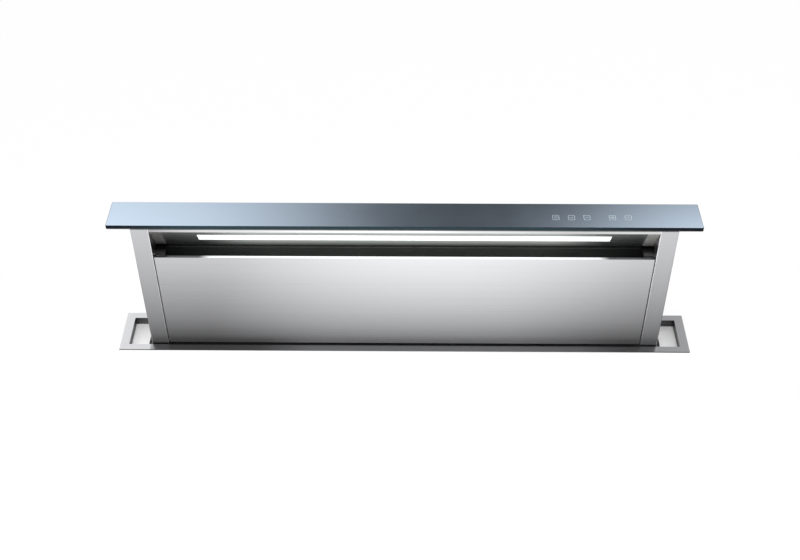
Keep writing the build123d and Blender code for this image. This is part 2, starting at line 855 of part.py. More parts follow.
with BuildPart() as duct_spigot:
    axle((spigot_end_x, box_left_x), spigot_y, spigot_z, spigot_diameter)
    axle((box_left_x - spigot_wall, box_left_x), spigot_y, spigot_z, spigot_flange)
    axle((spigot_end_x, box_left_x), spigot_y, spigot_z, 2 * spigot_bore_radius, Mode.SUBTRACT)
    pin_reach = spigot_bore_radius + spigot_wall / 2
    pin_z = (spigot_z - pin_reach, spigot_z + pin_reach)
    for side in (-1, 1):
        pin_y = spigot_y + side * flap_pin_spacing / 2
        rod(flap_x, pin_y, pin_z, flap_pin_diameter, Mode.SUBTRACT)
write(duct_spigot, "duct_spigot")

with BuildPart() as flap_pins:
    for side in (-1, 1):
        rod(flap_x, spigot_y + side * flap_pin_spacing / 2, pin_z, flap_pin_diameter)
write(flap_pins, "flap_pins")


def flap(side, label):
    """One half of the non-return damper, hung on its own upright pin."""
    pin_y = spigot_y + side * flap_pin_spacing / 2
    radius = spigot_bore_radius - flap_gap
    near = pin_y + side * moving_gap
    far = spigot_y + side * radius
    with BuildPart() as piece:
        with BuildSketch(Plane.YZ.offset(flap_x - flap_thickness / 2)):
            with Locations((spigot_y, spigot_z)):
                Circle(radius)
            with Locations(((near + far) / 2, spigot_z)):
                Rectangle(abs(far - near), 2 * radius, mode=Mode.INTERSECT)
        extrude(amount=flap_thickness)
        knuckle_half = radius - flap_knuckle_gap
        rod(flap_x, pin_y, (spigot_z - knuckle_half, spigot_z + knuckle_half), flap_knuckle_diameter)
        bore = flap_pin_diameter + 2 * running_clearance
        rod(flap_x, pin_y, (spigot_z - radius, spigot_z + radius), bore, Mode.SUBTRACT)
    write(piece, label)


flap(-1, "front_flap")
flap(1, "rear_flap")

# ---------------------------------------------------------------- electrics

control_right = casing_side_x - control_from_end
control_left = control_right - control_width
control_top = -control_drop
control_bottom = control_top - control_height
control_front_y = casing_front_y - control_depth
control_screws = [
    (x, z)
    for x in (control_left + control_screw_inset, control_right - control_screw_inset)
    for z in (control_bottom + control_screw_inset, control_top - control_screw_inset)
]
gland_x = control_left + gland_from_left
gland_y = casing_front_y - control_depth / 2

with BuildPart() as control_box:
    block(
        (control_left, control_right),
        (control_front_y, casing_front_y),
        (control_bottom, control_top),
    )
    block(
        (control_left + control_wall, control_right - control_wall),
        (control_front_y, casing_front_y - control_wall),
        (control_bottom + control_wall, control_top - control_wall),
        Mode.SUBTRACT,
    )
    for x, z in control_screws:
        arbor(x, (control_front_y, casing_front_y - control_wall), z, control_post)
        hole_y = (control_front_y, control_front_y + screw_reach + screw_end_room)
        arbor(x, hole_y, z, screw_hole, Mode.SUBTRACT)
    rod(gland_x, gland_y, (control_bottom, control_bottom + control_wall), gland_thread, Mode.SUBTRACT)
write(control_box, "control_box")

with BuildPart() as control_cover:
    block(
        (control_left, control_right),
        (control_front_y - control_wall, control_front_y),
        (control_bottom, control_top),
    )
    for x, z in control_screws:
        arbor(x, (control_front_y - control_wall, control_front_y), z, screw_hole, Mode.SUBTRACT)
write(control_cover, "control_cover")

board_y = casing_front_y - control_wall - board_standoff
board_face_y = board_y - board_thickness
board_left = control_left + board_margin
board_bottom = control_bottom + board_margin
board_top = control_top - board_margin

with BuildPart() as control_board:
    board_x = (board_left, control_right - board_margin)
    block(board_x, (board_face_y, board_y), (board_bottom, board_top))
    transformer_left = board_left + transformer_inset
    transformer_x = (transformer_left, transformer_left + transformer_width)
    transformer_top = board_top - transformer_inset / 2
    transformer_z = (transformer_top - transformer_width, transformer_top)
    block(transformer_x, (board_face_y - transformer_height, board_face_y), transformer_z)
    for i in range(relay_count):
        left = transformer_x[1] + relay_pitch * (i + 1)
        relay_z = (transformer_z[0], transformer_z[0] + relay_height)
        block((left, left + relay_width), (board_face_y - relay_depth, board_face_y), relay_z)
    terminal_z = (board_bottom + terminal_inset, board_bottom + terminal_inset + terminal_height)
    terminal_front_y = board_face_y - terminal_depth
    for i in range(terminal_count):
        left = transformer_x[0] + terminal_pitch * i
        terminal_x = (left, left + terminal_pitch)
        block(terminal_x, (terminal_front_y, board_face_y), terminal_z)
        middle = (left + terminal_pitch / 2, (terminal_z[0] + terminal_z[1]) / 2)
        hole_y = (terminal_front_y, terminal_front_y + terminal_depth / 2)
        arbor(middle[0], hole_y, middle[1], terminal_hole, Mode.SUBTRACT)
    for x in (board_x[0] + standoff_inset, board_x[1] - standoff_inset):
        for z in (board_bottom + standoff_inset, board_top - standoff_inset):
            arbor(x, (board_y, casing_front_y - control_wall), z, standoff_diameter)
write(control_board, "control_board")

gland_inside_z = control_bottom + control_wall
gland_mouth_z = control_bottom - gland_length + gland_nut_height
gland_top_z = gland_inside_z + gland_nut_height + gland_spare_thread
gland_hexes = (
    (gland_inside_z, gland_nut_height),
    (control_bottom - gland_nut_height, gland_nut_height),
    (gland_mouth_z, gland_cap_height),
)

with BuildPart() as mains_gland:
    rod(gland_x, gland_y, (gland_mouth_z, gland_top_z), gland_thread)
    for low, height in gland_hexes:
        with BuildSketch(Plane.XY.offset(low)):
            with Locations((gland_x, gland_y)):
                RegularPolygon(gland_nut / 2, 6, major_radius=False)
        extrude(amount=height)
    rod(gland_x, gland_y, (gland_mouth_z, gland_top_z), gland_bore, Mode.SUBTRACT)
write(mains_gland, "mains_gland")

# the same screw is used all over the casing, so its copies are one group
screw_seats = [(x, casing_front_y, z, -1) for x, z in edge_screws]
screw_seats += [(x, casing_rear_y, z, 1) for x, z in edge_screws]
screw_seats += [(x, box_front_y - sheet, z, -1) for x, z in cover_screws]
screw_seats += [(x, control_front_y - control_wall, z, -1) for x, z in control_screws]

with BuildPart() as casing_screws:
    for x, seat_y, z, face in screw_seats:
        arbor(x, sorted((seat_y, seat_y + face * screw_head_height)), z, screw_head)
        arbor(x, sorted((seat_y, seat_y - face * screw_reach)), z, screw_shank)
    for x, y in leg_screws:
        seat_z = casing_bottom_z - heavy_sheet
        rod(x, y, (seat_z - screw_head_height, seat_z), screw_head)
        rod(x, y, (seat_z, seat_z + screw_reach), screw_shank)
write(casing_screws, "casing_screws")

# ---------------------------------------------------------------- tower


with BuildPart() as tower_posts:
    post_middle_x = post_inner_x + post_width / 2
    with BuildSketch(Plane.XY.offset(tower_bottom_z)):
        with Locations((-post_middle_x, 0), (post_middle_x, 0)):
            RectangleRounded(post_width, glass_depth, post_edge)
            RectangleRounded(
                post_width - 2 * post_wall,
                glass_depth - 2 * post_wall,
                post_edge - post_wall,
                mode=Mode.SUBTRACT,
            )
    extrude(amount=head_top_z - tower_bottom_z)
    for side in (-1, 1):
        wall = sorted((side * post_inner_x, side * (post_inner_x + post_wall)))
        bore = hinge_pin_diameter + 2 * running_clearance
        axle(wall, hinge_y, hinge_z, bore, Mode.SUBTRACT)
write(tower_posts, "tower_posts")

with BuildPart() as tower_back:
    block(
        (-post_inner_x, post_inner_x),
        (tower_rear_y - sheet, tower_rear_y),
        (tower_bottom_z, head_top_z - sheet),
    )
write(tower_back, "tower_back")

with BuildPart() as tower_lower_front:
    block(
        (-post_inner_x, post_inner_x),
        (tower_front_y, tower_front_y + sheet),
        (tower_bottom_z, lower_front_top_z),
    )
write(tower_lower_front, "tower_lower_front")

touch_window_x = (
    touch_x - touch_length / 2 - touch_window_gap,
    touch_x + touch_length / 2 + touch_window_gap,
)
touch_window_y = (
    touch_y - touch_depth / 2 - touch_window_gap,
    touch_y + touch_depth / 2 + touch_window_gap,
)

with BuildPart() as head_pan:
    block(
        (-post_inner_x, post_inner_x),
        (tower_front_y, tower_rear_y),
        (head_top_z - sheet, head_top_z),
    )
    block(
        (-post_inner_x, post_inner_x),
        (tower_front_y, tower_front_y + sheet),
        (lip_under_z, head_top_z),
    )
    block(touch_window_x, touch_window_y, (head_top_z - sheet, head_top_z), Mode.SUBTRACT)
write(head_pan, "head_pan")

fascia_plane = Plane(
    origin=(0, fascia_top_y, lip_under_z),
    x_dir=(1, 0, 0),
    z_dir=(0, -fascia_fall / fascia_length, -fascia_back / fascia_length),
)
lamp_middle = -(lamp_from_lip + lamp_height / 2)

with BuildPart() as fascia:
    with BuildSketch(fascia_plane):
        with Locations((0, -fascia_length / 2)):
            Rectangle(2 * (post_inner_x - fascia_end_gap), fascia_length)
        with Locations((0, lamp_middle)):
            Rectangle(lamp_length + 2 * lamp_gap, lamp_height + 2 * lamp_gap, mode=Mode.SUBTRACT)
    extrude(amount=-sheet)
write(fascia, "fascia")

with BuildPart() as lamp_diffuser:
    with BuildSketch(fascia_plane):
        with Locations((0, lamp_middle)):
            Rectangle(lamp_length, lamp_height)
    extrude(amount=-lamp_thickness)
    face = lamp_diffuser.faces().sort_by(Axis((0, 0, 0), fascia_plane.z_dir))[-1]
    chamfer(face.edges(), lamp_bevel)
write(lamp_diffuser, "lamp_diffuser")

housing_length = lamp_length + 2 * lamp_housing_lap
housing_height = lamp_height + 2 * lamp_housing_lap

with BuildPart() as lamp_housing:
    with BuildSketch(fascia_plane.offset(-sheet)):
        with Locations((0, lamp_middle)):
            Rectangle(housing_length, housing_height)
    extrude(amount=-lamp_housing_depth)
    with BuildSketch(fascia_plane.offset(-sheet)):
        with Locations((0, lamp_middle)):
            Rectangle(
                housing_length - 2 * lamp_housing_wall, housing_height - 2 * lamp_housing_wall
            )
    extrude(amount=-(lamp_housing_depth - lamp_housing_wall), mode=Mode.SUBTRACT)
write(lamp_housing, "lamp_housing")

with BuildPart() as led_board:
    back = sheet + lamp_housing_depth - lamp_housing_wall
    with BuildSketch(fascia_plane.offset(-back)):
        with Locations((0, lamp_middle)):
            Rectangle(lamp_length - 2 * led_board_inset, lamp_height - 2 * led_board_inset)
    extrude(amount=board_thickness)
    led_row = lamp_length / 2 - led_end
    with BuildSketch(fascia_plane.offset(board_thickness - back)):
        for x in spread(-led_row, led_row, lamp_length / led_count):
            with Locations((x, lamp_middle)):
                Rectangle(led_size, led_size)
    extrude(amount=led_height)
write(led_board, "led_board")

with BuildPart() as glass_carrier:
    block(
        (-glass_length / 2 + carrier_inset, glass_length / 2 - carrier_inset),
        (tower_front_y + carrier_inset, tower_rear_y - carrier_inset),
        (head_top_z, carrier_top_z),
    )
    block(touch_window_x, touch_window_y, (head_top_z, carrier_top_z), Mode.SUBTRACT)
write(glass_carrier, "glass_carrier")

touch_board_z = carrier_top_z - board_thickness

with BuildPart() as touch_board:
    block(
        (touch_x - touch_length / 2, touch_x + touch_length / 2),
        (touch_y - touch_depth / 2, touch_y + touch_depth / 2),
        (touch_board_z, carrier_top_z),
    )
    case_length = touch_length - 2 * touch_case_inset
    case_depth = touch_depth - 2 * touch_case_inset
    block(
        (touch_x - case_length / 2, touch_x + case_length / 2),
        (touch_y - case_depth / 2, touch_y + case_depth / 2),
        (touch_board_z - touch_case_height, touch_board_z),
    )
write(touch_board, "touch_board")

with BuildPart() as glass_top:
    with BuildSketch(Plane.XY.offset(carrier_top_z)):
        RectangleRounded(glass_length, glass_depth, glass_corner)
    extrude(amount=glass_thickness)
    chamfer(glass_top.faces().sort_by(Axis.Z)[-1].edges(), glass_bevel)
    chamfer(glass_top.faces().sort_by(Axis.Z)[0].edges(), glass_bevel / 2)
write(glass_top, "glass_top")


leaf_end = (lip_under_z - ledge_top_z) * fascia_length / fascia_fall
leaf_length = leaf_end - ledge_leaf_gap
leaf_width = ledge_width - fascia_end_gap

with BuildPart() as intake_ledges:  # a shelf at each end of the slot, with a leaf up the fascia
    for side in (-1, 1):
        x = sorted((side * post_inner_x, side * (post_inner_x - ledge_width)))
        block(x, (ledge_front_y, ledge_rear_y), (ledge_top_z - sheet, ledge_top_z))
        block(x, (ledge_front_y, ledge_front_y + sheet), (ledge_top_z - ledge_drop, ledge_top_z))
        leaf_x = side * (post_inner_x - ledge_width + leaf_width / 2)
        with BuildSketch(fascia_plane):
            with Locations((leaf_x, leaf_length / 2 - leaf_end)):
                Rectangle(leaf_width, leaf_length)
        extrude(amount=sheet)
write(intake_ledges, "intake_ledges")

with BuildPart() as catch_magnets:
    for side in (-1, 1):
        outer = side * (post_inner_x - magnet_inset)
        x = sorted((outer, outer - side * magnet_width))
        y = (panel_inner_y + moving_gap, ledge_front_y + magnet_width / 2)
        top = panel_top_z - sheet - moving_gap
        block(x, y, (top - magnet_height, top))
        block(x, (ledge_front_y + sheet, y[1]), (top, ledge_top_z - sheet))
write(catch_magnets, "catch_magnets")

# carriages, bushes and nuts ride with the tower


with BuildPart() as lift_carriages:
    for side in (-1, 1):
        span = sorted((side * tower_side_x, side * (tower_side_x + carriage_width)))
        z = (carriage_bottom_z, carriage_top_z)
        block(span, (-carriage_depth / 2, carriage_depth / 2), z)
        rod(side * lift_x, rod_y, z, bush_diameter, Mode.SUBTRACT)
        rod(side * lift_x, screw_y, z, nut_diameter, Mode.SUBTRACT)
write(lift_carriages, "lift_carriages")

with BuildPart() as slide_bushes:
    for side in (-1, 1):
        z = (carriage_bottom_z, carriage_top_z)
        rod(side * lift_x, rod_y, z, bush_diameter)
        rod(side * lift_x, rod_y, z, rod_diameter + 2 * running_clearance, Mode.SUBTRACT)
write(slide_bushes, "slide_bushes")

with BuildPart() as lift_nuts:
    for side in (-1, 1):
        low = carriage_bottom_z - nut_flange_height
        rod(side * lift_x, screw_y, (carriage_bottom_z, carriage_top_z), nut_diameter)
        rod(side * lift_x, screw_y, (low, carriage_bottom_z), nut_flange)
        bore = screw_diameter + 2 * running_clearance
        rod(side * lift_x, screw_y, (low, carriage_top_z), bore, Mode.SUBTRACT)
write(lift_nuts, "lift_nuts")

# ---------------------------------------------------------------- grease filters

filter_rise = hypot(filter_head_y - filter_foot_y, filter_head_z - filter_foot_z)
filter_plane = Plane(
    origin=(0, (filter_foot_y + filter_head_y) / 2, (filter_foot_z + filter_head_z) / 2),
    x_dir=(1, 0, 0),
    z_dir=(
        0,
        -(filter_head_z - filter_foot_z) / filter_rise,
        (filter_head_y - filter_foot_y) / filter_rise,
    ),
)
filter_width = (2 * post_inner_x - (filter_count + 1) * filter_gap) / filter_count
filter_xs = [
    -post_inner_x + filter_gap + filter_width / 2 + i * (filter_width + filter_gap)
    for i in range(filter_count)
]
core_width = filter_width - 2 * filter_border
core_height = filter_rise - 2 * filter_border
mesh_column = core_width / mesh_columns
mesh_row = core_height / mesh_rows

with BuildPart() as grease_filters:
    with BuildSketch(filter_plane.offset(-filter_thickness / 2)):
        with Locations([(x, 0) for x in filter_xs]):
            Rectangle(filter_width, filter_rise)
            Rectangle(core_width, core_height, mode=Mode.SUBTRACT)
    extrude(amount=filter_thickness)
    with BuildSketch(filter_plane.offset(-filter_core / 2)):
        with Locations([(x, 0) for x in filter_xs]):
            Rectangle(core_width, core_height)
            with GridLocations(mesh_column, mesh_row, mesh_columns, mesh_rows):
                Rectangle(mesh_column - mesh_bar, mesh_row - mesh_bar, mode=Mode.SUBTRACT)
    extrude(amount=filter_core)
write(grease_filters, "grease_filters")

with BuildPart() as filter_latches:
    with BuildSketch(filter_plane.offset(filter_thickness / 2)):
        with Locations([(x, (filter_rise - filter_border) / 2) for x in filter_xs]):
            RectangleRounded(latch_length, latch_width, latch_corner)
    extrude(amount=latch_thickness)
write(filter_latches, "filter_latches")

with BuildPart() as filter_rails:
    x = (-post_inner_x, post_inner_x)
    sill_z = filter_foot_z - filter_seat_gap
    seat_half = filter_thickness / 2 + filter_seat_gap
    front = filter_foot_y - seat_half
    rear = filter_foot_y + seat_half + sheet
    block(x, (front - sheet, rear + sheet), (sill_z - sheet, sill_z))
    block(x, (front - sheet, front), (sill_z, sill_z + rail_front_lip))
    block(x, (rear, rear + sheet), (sill_z, sill_z + rail_rear_lip))
    head_z = filter_head_z + filter_seat_gap
    stop = filter_head_y + seat_half + sheet
    block(x, (fascia_foot_y + sheet, stop + sheet), (head_z, head_z + sheet))
    block(x, (stop, stop + sheet), (head_z - rail_rear_lip, head_z))
write(filter_rails, "filter_rails")

# ---------------------------------------------------------------- front panel

with BuildPart() as front_panel:
    x = (-panel_half, panel_half)
    block(x, (tower_front_y, panel_inner_y), (panel_bottom_z, panel_top_z))
    bottom_y = (tower_front_y, tower_front_y + panel_return)
    block(x, bottom_y, (panel_bottom_z, panel_bottom_z + sheet))
    top_y = (tower_front_y, tower_front_y + panel_top_return)
    block(x, top_y, (panel_top_z - sheet, panel_top_z))
    for side in (-1, 1):
        edge = sorted((side * panel_half, side * (panel_half - sheet)))
        block(edge, bottom_y, (panel_bottom_z, panel_top_z - sheet))
        axle(edge, hinge_y, hinge_z, hinge_pin_diameter, Mode.SUBTRACT)
write(front_panel, "front_panel")

with BuildPart() as hinge_pins:
    for side in (-1, 1):
        inside = side * (panel_half - sheet)
        tip = side * (post_inner_x + 2 * post_wall)
        axle(sorted((inside, tip)), hinge_y, hinge_z, hinge_pin_diameter)
        head = sorted((inside, inside - side * hinge_pin_head_length))
        axle(head, hinge_y, hinge_z, hinge_pin_head)
write(hinge_pins, "hinge_pins")
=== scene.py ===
"""The looks of the downdraft vent: its finishes, its glass and keys, its fittings, and a white stage."""

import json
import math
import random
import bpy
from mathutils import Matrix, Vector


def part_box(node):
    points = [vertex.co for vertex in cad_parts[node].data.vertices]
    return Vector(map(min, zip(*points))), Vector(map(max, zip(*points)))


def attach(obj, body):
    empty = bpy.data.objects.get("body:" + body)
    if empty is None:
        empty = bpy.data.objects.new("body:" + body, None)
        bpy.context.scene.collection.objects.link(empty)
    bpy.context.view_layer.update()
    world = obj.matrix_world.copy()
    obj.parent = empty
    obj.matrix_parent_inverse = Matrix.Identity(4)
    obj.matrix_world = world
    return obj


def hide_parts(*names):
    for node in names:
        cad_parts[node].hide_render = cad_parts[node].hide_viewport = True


bl_info = {
    "name": "Downdraft vent",
    "version": (1, 0, 0),
    "blender": (4, 5, 0),
    "location": "View3D > Sidebar > Vent",
    "description": "Finishes and fittings of a retractable downdraft vent, and its stage",
    "category": "Object",
}

import bmesh
import bpy
from bpy.props import FloatProperty, FloatVectorProperty, PointerProperty
from mathutils import Matrix, Vector

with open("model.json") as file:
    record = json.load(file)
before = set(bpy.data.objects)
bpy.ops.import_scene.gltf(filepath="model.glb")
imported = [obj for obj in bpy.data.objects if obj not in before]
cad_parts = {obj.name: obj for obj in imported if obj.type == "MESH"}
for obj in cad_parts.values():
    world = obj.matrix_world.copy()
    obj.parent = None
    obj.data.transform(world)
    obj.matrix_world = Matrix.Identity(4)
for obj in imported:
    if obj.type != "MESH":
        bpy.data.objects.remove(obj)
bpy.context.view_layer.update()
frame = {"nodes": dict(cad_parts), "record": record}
MM = 0.001


# ---------------------------------------------------------------- what a user would change


def colour_setting(name, description, colour):
    """A colour that a user can change."""
    return FloatVectorProperty(
        name=name, description=description, subtype="COLOR", size=3, min=0, max=1, default=colour,
    )


def size_setting(name, description, size):
    """A size that a user can change."""
    return FloatProperty(
        name=name, description=description, subtype="DISTANCE", unit="LENGTH", default=size,
    )


class VentFinishes(bpy.types.PropertyGroup):
    """Colours and polish of the vent's finishes."""

    steel: colour_setting("Stainless steel", "Colour of the brushed sheets", (0.79, 0.795, 0.81))
    steel_roughness: FloatProperty(
        name="Steel roughness", description="Blur across the brushing", min=0, max=1, default=0.3,
    )
    glass: colour_setting("Glass", "Colour of the silvered glass", (0.61, 0.74, 0.895))
    glass_edge: colour_setting("Glass edge", "Colour seen in the glass's edges", (0.019, 0.037, 0.046))
    key_ink: colour_setting("Key ink", "Colour of the printed key symbols", (0.74, 0.88, 0.96))
    lamp: colour_setting("Lamp", "Colour of the lit diffuser", (0.95, 1.0, 0.97))
    galvanised: colour_setting("Galvanised sheet", "Colour of the zinc coat", (0.62, 0.64, 0.65))


class VentSizes(bpy.types.PropertyGroup):
    """Sizes of the small pieces that are made here."""

    key_width: size_setting("Key width", "Width of a key's outline", 11.8 * MM)
    key_depth: size_setting("Key depth", "Depth of a key's outline", 13.4 * MM)
    key_stroke: size_setting("Key stroke", "Width of a printed line", 1.4 * MM)
    glass_bevel: size_setting("Glass bevel", "Polished bevel round the glass", 0.9 * MM)
    screw_head: size_setting("Screw head", "Diameter of the casing screws' heads", 8 * MM)
    screw_head_height: size_setting("Screw head height", "Height of the casing screws' heads", 2.4 * MM)
    screw_reach: size_setting("Screw reach", "Length of the casing screws' shanks", 7 * MM)
    bead_width: size_setting("Bead width", "Width of the beads pressed in the casing", 14 * MM)
    bead_height: size_setting("Bead height", "Height of the beads pressed in the casing", 2.3 * MM)
    bead_pitch: size_setting("Bead pitch", "Distance from one bead of the casing to the next", 80 * MM)
    filter_thickness: size_setting("Filter thickness", "Thickness of a grease filter", 9 * MM)
    filter_rim: size_setting("Filter rim", "Width of a grease filter's frame", 12 * MM)
    filter_rail: size_setting("Filter rail", "Width of a grease filter's top rail", 34 * MM)
    mesh_cell: size_setting("Mesh cell", "Width of one diamond of the filter's mesh", 9 * MM)


class VentStudio(bpy.types.PropertyGroup):
    """The stage and its light."""

    lens: FloatProperty(
        name="Lens", description="Focal length for a 36 mm sensor", unit="CAMERA", default=53.944,
    )
    slab_thickness: size_setting("Worktop", "Thickness of the worktop", 40 * MM)
    key_light: FloatProperty(
        name="Key light", description="Power of the overhead light", subtype="POWER", default=60,
    )


# ---------------------------------------------------------------- shader trees


class Tree:
    """A short way to write a shader tree: inputs that are sockets are linked, others are set."""

    def __init__(self, tree):
        self.tree = tree
        tree.nodes.clear()

    def add(self, kind, inputs=None, **settings):
        """One shader node, with its inputs and settings."""
        node = self.tree.nodes.new("ShaderNode" + kind)
        for name, value in settings.items():
            setattr(node, name, value)
        for key, value in (inputs or {}).items():
            socket = node.inputs[key]
            if isinstance(value, bpy.types.NodeSocket):
                self.tree.links.new(value, socket)
            else:
                socket.default_value = value
        return node

    def math(self, operation, first, second=0.0, clamp=False):
        """Two values worked together."""
        node = self.add("Math", {0: first, 1: second}, operation=operation, use_clamp=clamp)
        return node.outputs[0]

    def place(self, scale):
        """Object coordinates, scaled on each axis."""
        coords = self.add("TexCoord").outputs["Object"]
        return self.add("Mapping", {"Vector": coords, "Scale": scale}).outputs[0]

    def noise(self, vector, scale, detail=3.0, roughness=0.5):
        """A cloudy value between 0 and 1, centred on 0.5."""
        inputs = {"Vector": vector, "Scale": scale, "Detail": detail, "Roughness": roughness}
        return self.add("TexNoise", inputs).outputs["Fac"]

    def spread(self, value, low, high):
        """A 0 to 1 value, centred on 0.5, mapped to a range."""
        return self.ramp(value, 0.25, 0.75, low, high)

    def tint(self, value, colour, low, high):
        """A colour made darker and lighter by a value."""
        return self.times((*colour, 1), self.spread(value, low, high))

    def at(self, axis):
        """One of a point's own coordinates, in metres."""
        return self.add("SeparateXYZ", {0: self.place((1, 1, 1))}).outputs[axis]

    def ramp(self, value, low, high, start=0.0, end=1.0, smooth=False):
        """From start at a low value to end at a high one, and level beyond both."""
        shape = "SMOOTHSTEP" if smooth else "LINEAR"
        inputs = {"Value": value, "From Min": low, "From Max": high, "To Min": start, "To Max": end}
        return self.add("MapRange", inputs, interpolation_type=shape).outputs[0]

    def times(self, colour, factor):
        """A colour made darker or lighter by a factor."""
        inputs = {"Fac": 1.0, "Color1": colour, "Color2": factor}
        return self.add("MixRGB", inputs, blend_type="MULTIPLY").outputs[0]

    def mix(self, factor, first, second):
        """One colour turning into another by a factor."""
        inputs = {"Fac": factor, "Color1": first, "Color2": second}
        return self.add("MixRGB", inputs).outputs[0]

    def product(self, *values):
        """Several values multiplied."""
        total = values[0]
        for value in values[1:]:
            total = self.math("MULTIPLY", total, value)
        return total

    def less(self, value):
        """What is left of 1."""
        return self.math("SUBTRACT", 1.0, value)

    def size_of(self, value):
        """A value without its sign."""
        return self.math("ABSOLUTE", value)

    def bump(self, height, strength, distance):
        """A normal that follows a height."""
        inputs = {"Height": height, "Strength": strength, "Distance": distance}
        return self.add("Bump", inputs).outputs[0]


class Finish(Tree):
    """The shader tree of a new material."""

    def __init__(self, name):
        self.material = bpy.data.materials.new(name)
        self.material.use_nodes = True
        super().__init__(self.material.node_tree)

    def shown(self, shader):
        """The finished material, from its last shader."""
        self.add("OutputMaterial", {"Surface": shader.outputs[0]})
        return self.material

    def principled(self, inputs):
        """The finished material, from the inputs of a principled shader."""
        return self.shown(self.add("BsdfPrincipled", inputs))


def upright_faces(tree):
    """1 on faces that stand upright, 0 on level ones."""
    normal = tree.add("NewGeometry").outputs["True Normal"]
    level = tree.size_of(tree.add("SeparateXYZ", {0: normal}).outputs["Z"])
    return tree.ramp(level, 0.3, 0.7, 1.0, 0.0)


class BrushedSheet(Finish):
    """The shader tree of a brushed steel sheet: long fine lines along one axis, and streaks."""

    def __init__(self, name, roughness, along="X"):
        super().__init__(name)
        self.roughness = roughness
        fine = [1.5 if axis == along else 900 for axis in "XYZ"]
        broad = [0.8 if axis == along else 60 for axis in "XYZ"]
        self.lines = self.noise(self.place(fine), 1.0, detail=2.0)
        streaks = self.noise(self.place(broad), 1.0, detail=4.0, roughness=0.7)
        self.brushing = self.math("MULTIPLY", self.math("ADD", self.lines, streaks), 0.5)

    def steel(self, colour, low=0.95, high=1.04):
        """The steel's own colour, with the brushing in it."""
        return self.tint(self.brushing, colour, low, high)

    def done(self, colour, metallic=1.0, rougher=None, more=None):
        """The finished material, from the sheet's colour."""
        blur = self.spread(self.brushing, self.roughness * 0.85, self.roughness * 1.15)
        inputs = {
            "Base Color": colour,
            "Metallic": metallic,
            "Roughness": blur if rougher is None else self.math("ADD", blur, rougher),
            "Normal": self.bump(self.lines, 0.05, 0.0001),
        }
        return self.principled({**inputs, **(more or {})})


def brushed(name, colour, roughness, along):
    """Plain brushed steel, blurred across its lines."""
    sheet = BrushedSheet(name, roughness, along)
    across = sheet.add("CombineXYZ", {axis: 0.0 if axis == along else 1.0 for axis in "XYZ"})
    return sheet.done(sheet.steel(colour), more={"Anisotropic": 0.55, "Tangent": across.outputs[0]})


def trim_steel(name, colour, roughness):
    """The trim frame: brushed on top, dull down its inner walls with painted shade on them, satin in the
    tray with a painted light on its floor that fades to the right; painted shade darkens the rim in front
    of the tower's ends and on the right.
    """
    # painted shade: the colour of the frame's inner walls
    wall_shade_colour = (0.045, 0.045, 0.045, 1)
    sheet = BrushedSheet(name, roughness)
    x, y = sheet.at("X"), sheet.at("Y")
    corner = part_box("worktop_frame")[1]
    outer_x = sheet.ramp(sheet.size_of(x), corner.x - 1.0 * MM, corner.x - 0.6 * MM)
    outer_y = sheet.ramp(sheet.size_of(y), corner.y - 1.0 * MM, corner.y - 0.6 * MM)
    outer_edge = sheet.math("MAXIMUM", outer_x, outer_y)
    upright = upright_faces(sheet)
    walls = sheet.product(upright, sheet.less(sheet.math("MULTIPLY", outer_edge, 0.85)), 0.92)
    tower_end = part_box("tower_posts")[1].x
    beside_tower = sheet.ramp(sheet.size_of(x), tower_end + 4 * MM, tower_end)
    strip = sheet.math("MULTIPLY", beside_tower, sheet.ramp(y, -34 * MM, -36 * MM))
    # painted shade on the rim's front strip, towards the tower's ends
    left_end = sheet.ramp(x, -200 * MM, -300 * MM, 0, 0.45)
    right_end = sheet.ramp(x, 360 * MM, 460 * MM, 0, 0.36)
    ends = sheet.math("ADD", left_end, right_end)
    # painted shade on the right of the rim, away from the front strip
    right = sheet.math("MULTIPLY", sheet.ramp(x, 100 * MM, 350 * MM, 0, 0.38), sheet.less(strip))
    shade = sheet.math("ADD", sheet.math("MULTIPLY", ends, strip), right)
    plain = sheet.times(sheet.steel(colour), sheet.less(shade))
    tray = sheet.ramp(sheet.at("Z"), 0.0, -12 * MM)
    # painted light on the tray floor, lighter to the left
    tray_painted_light = sheet.ramp(x, -500 * MM, 500 * MM, 0.98, 0.80)
    floor = sheet.mix(sheet.math("MULTIPLY", tray, 0.9), plain, tray_painted_light)
    matt = sheet.product(tray, sheet.less(upright), 0.85)
    rougher = sheet.math("MULTIPLY", tray, 0.22)
    return sheet.done(sheet.mix(walls, floor, wall_shade_colour), sheet.less(matt), rougher)


def edged_steel(name, colour, roughness):
    """The posts: upright brushing, with a painted highlight of matt white along the inner front edges,
    stronger higher up, and painted shade towards the foot.
    """
    # painted highlight: the colour of the lit inner front edges
    white = (0.95, 0.95, 0.95, 1)
    sheet = BrushedSheet(name, roughness, "Z")
    normal = sheet.add("SeparateXYZ", {0: sheet.add("NewGeometry").outputs["True Normal"]})
    side = sheet.math("SIGN", sheet.at("X"))
    inward = sheet.math("MULTIPLY", sheet.math("MULTIPLY", normal.outputs["X"], side), -1.0, True)
    forward = sheet.math("MULTIPLY", normal.outputs["Y"], -1.0, True)
    edge = sheet.ramp(sheet.math("MULTIPLY", inward, forward), 0.3, 0.45)
    height = sheet.at("Z")
    # painted highlight along the inner front edges, stronger higher up
    painted_edge_highlight = sheet.math("MULTIPLY", edge, sheet.ramp(height, 0, 200 * MM, 0.1, 0.8))
    # painted shade: the posts darker towards the foot
    plain = sheet.times(sheet.steel(colour), sheet.ramp(height, 0, 300 * MM, 0.87, 0.96))
    metallic = sheet.less(sheet.math("MULTIPLY", painted_edge_highlight, 0.9))
    return sheet.done(sheet.mix(painted_edge_highlight, plain, white), metallic)


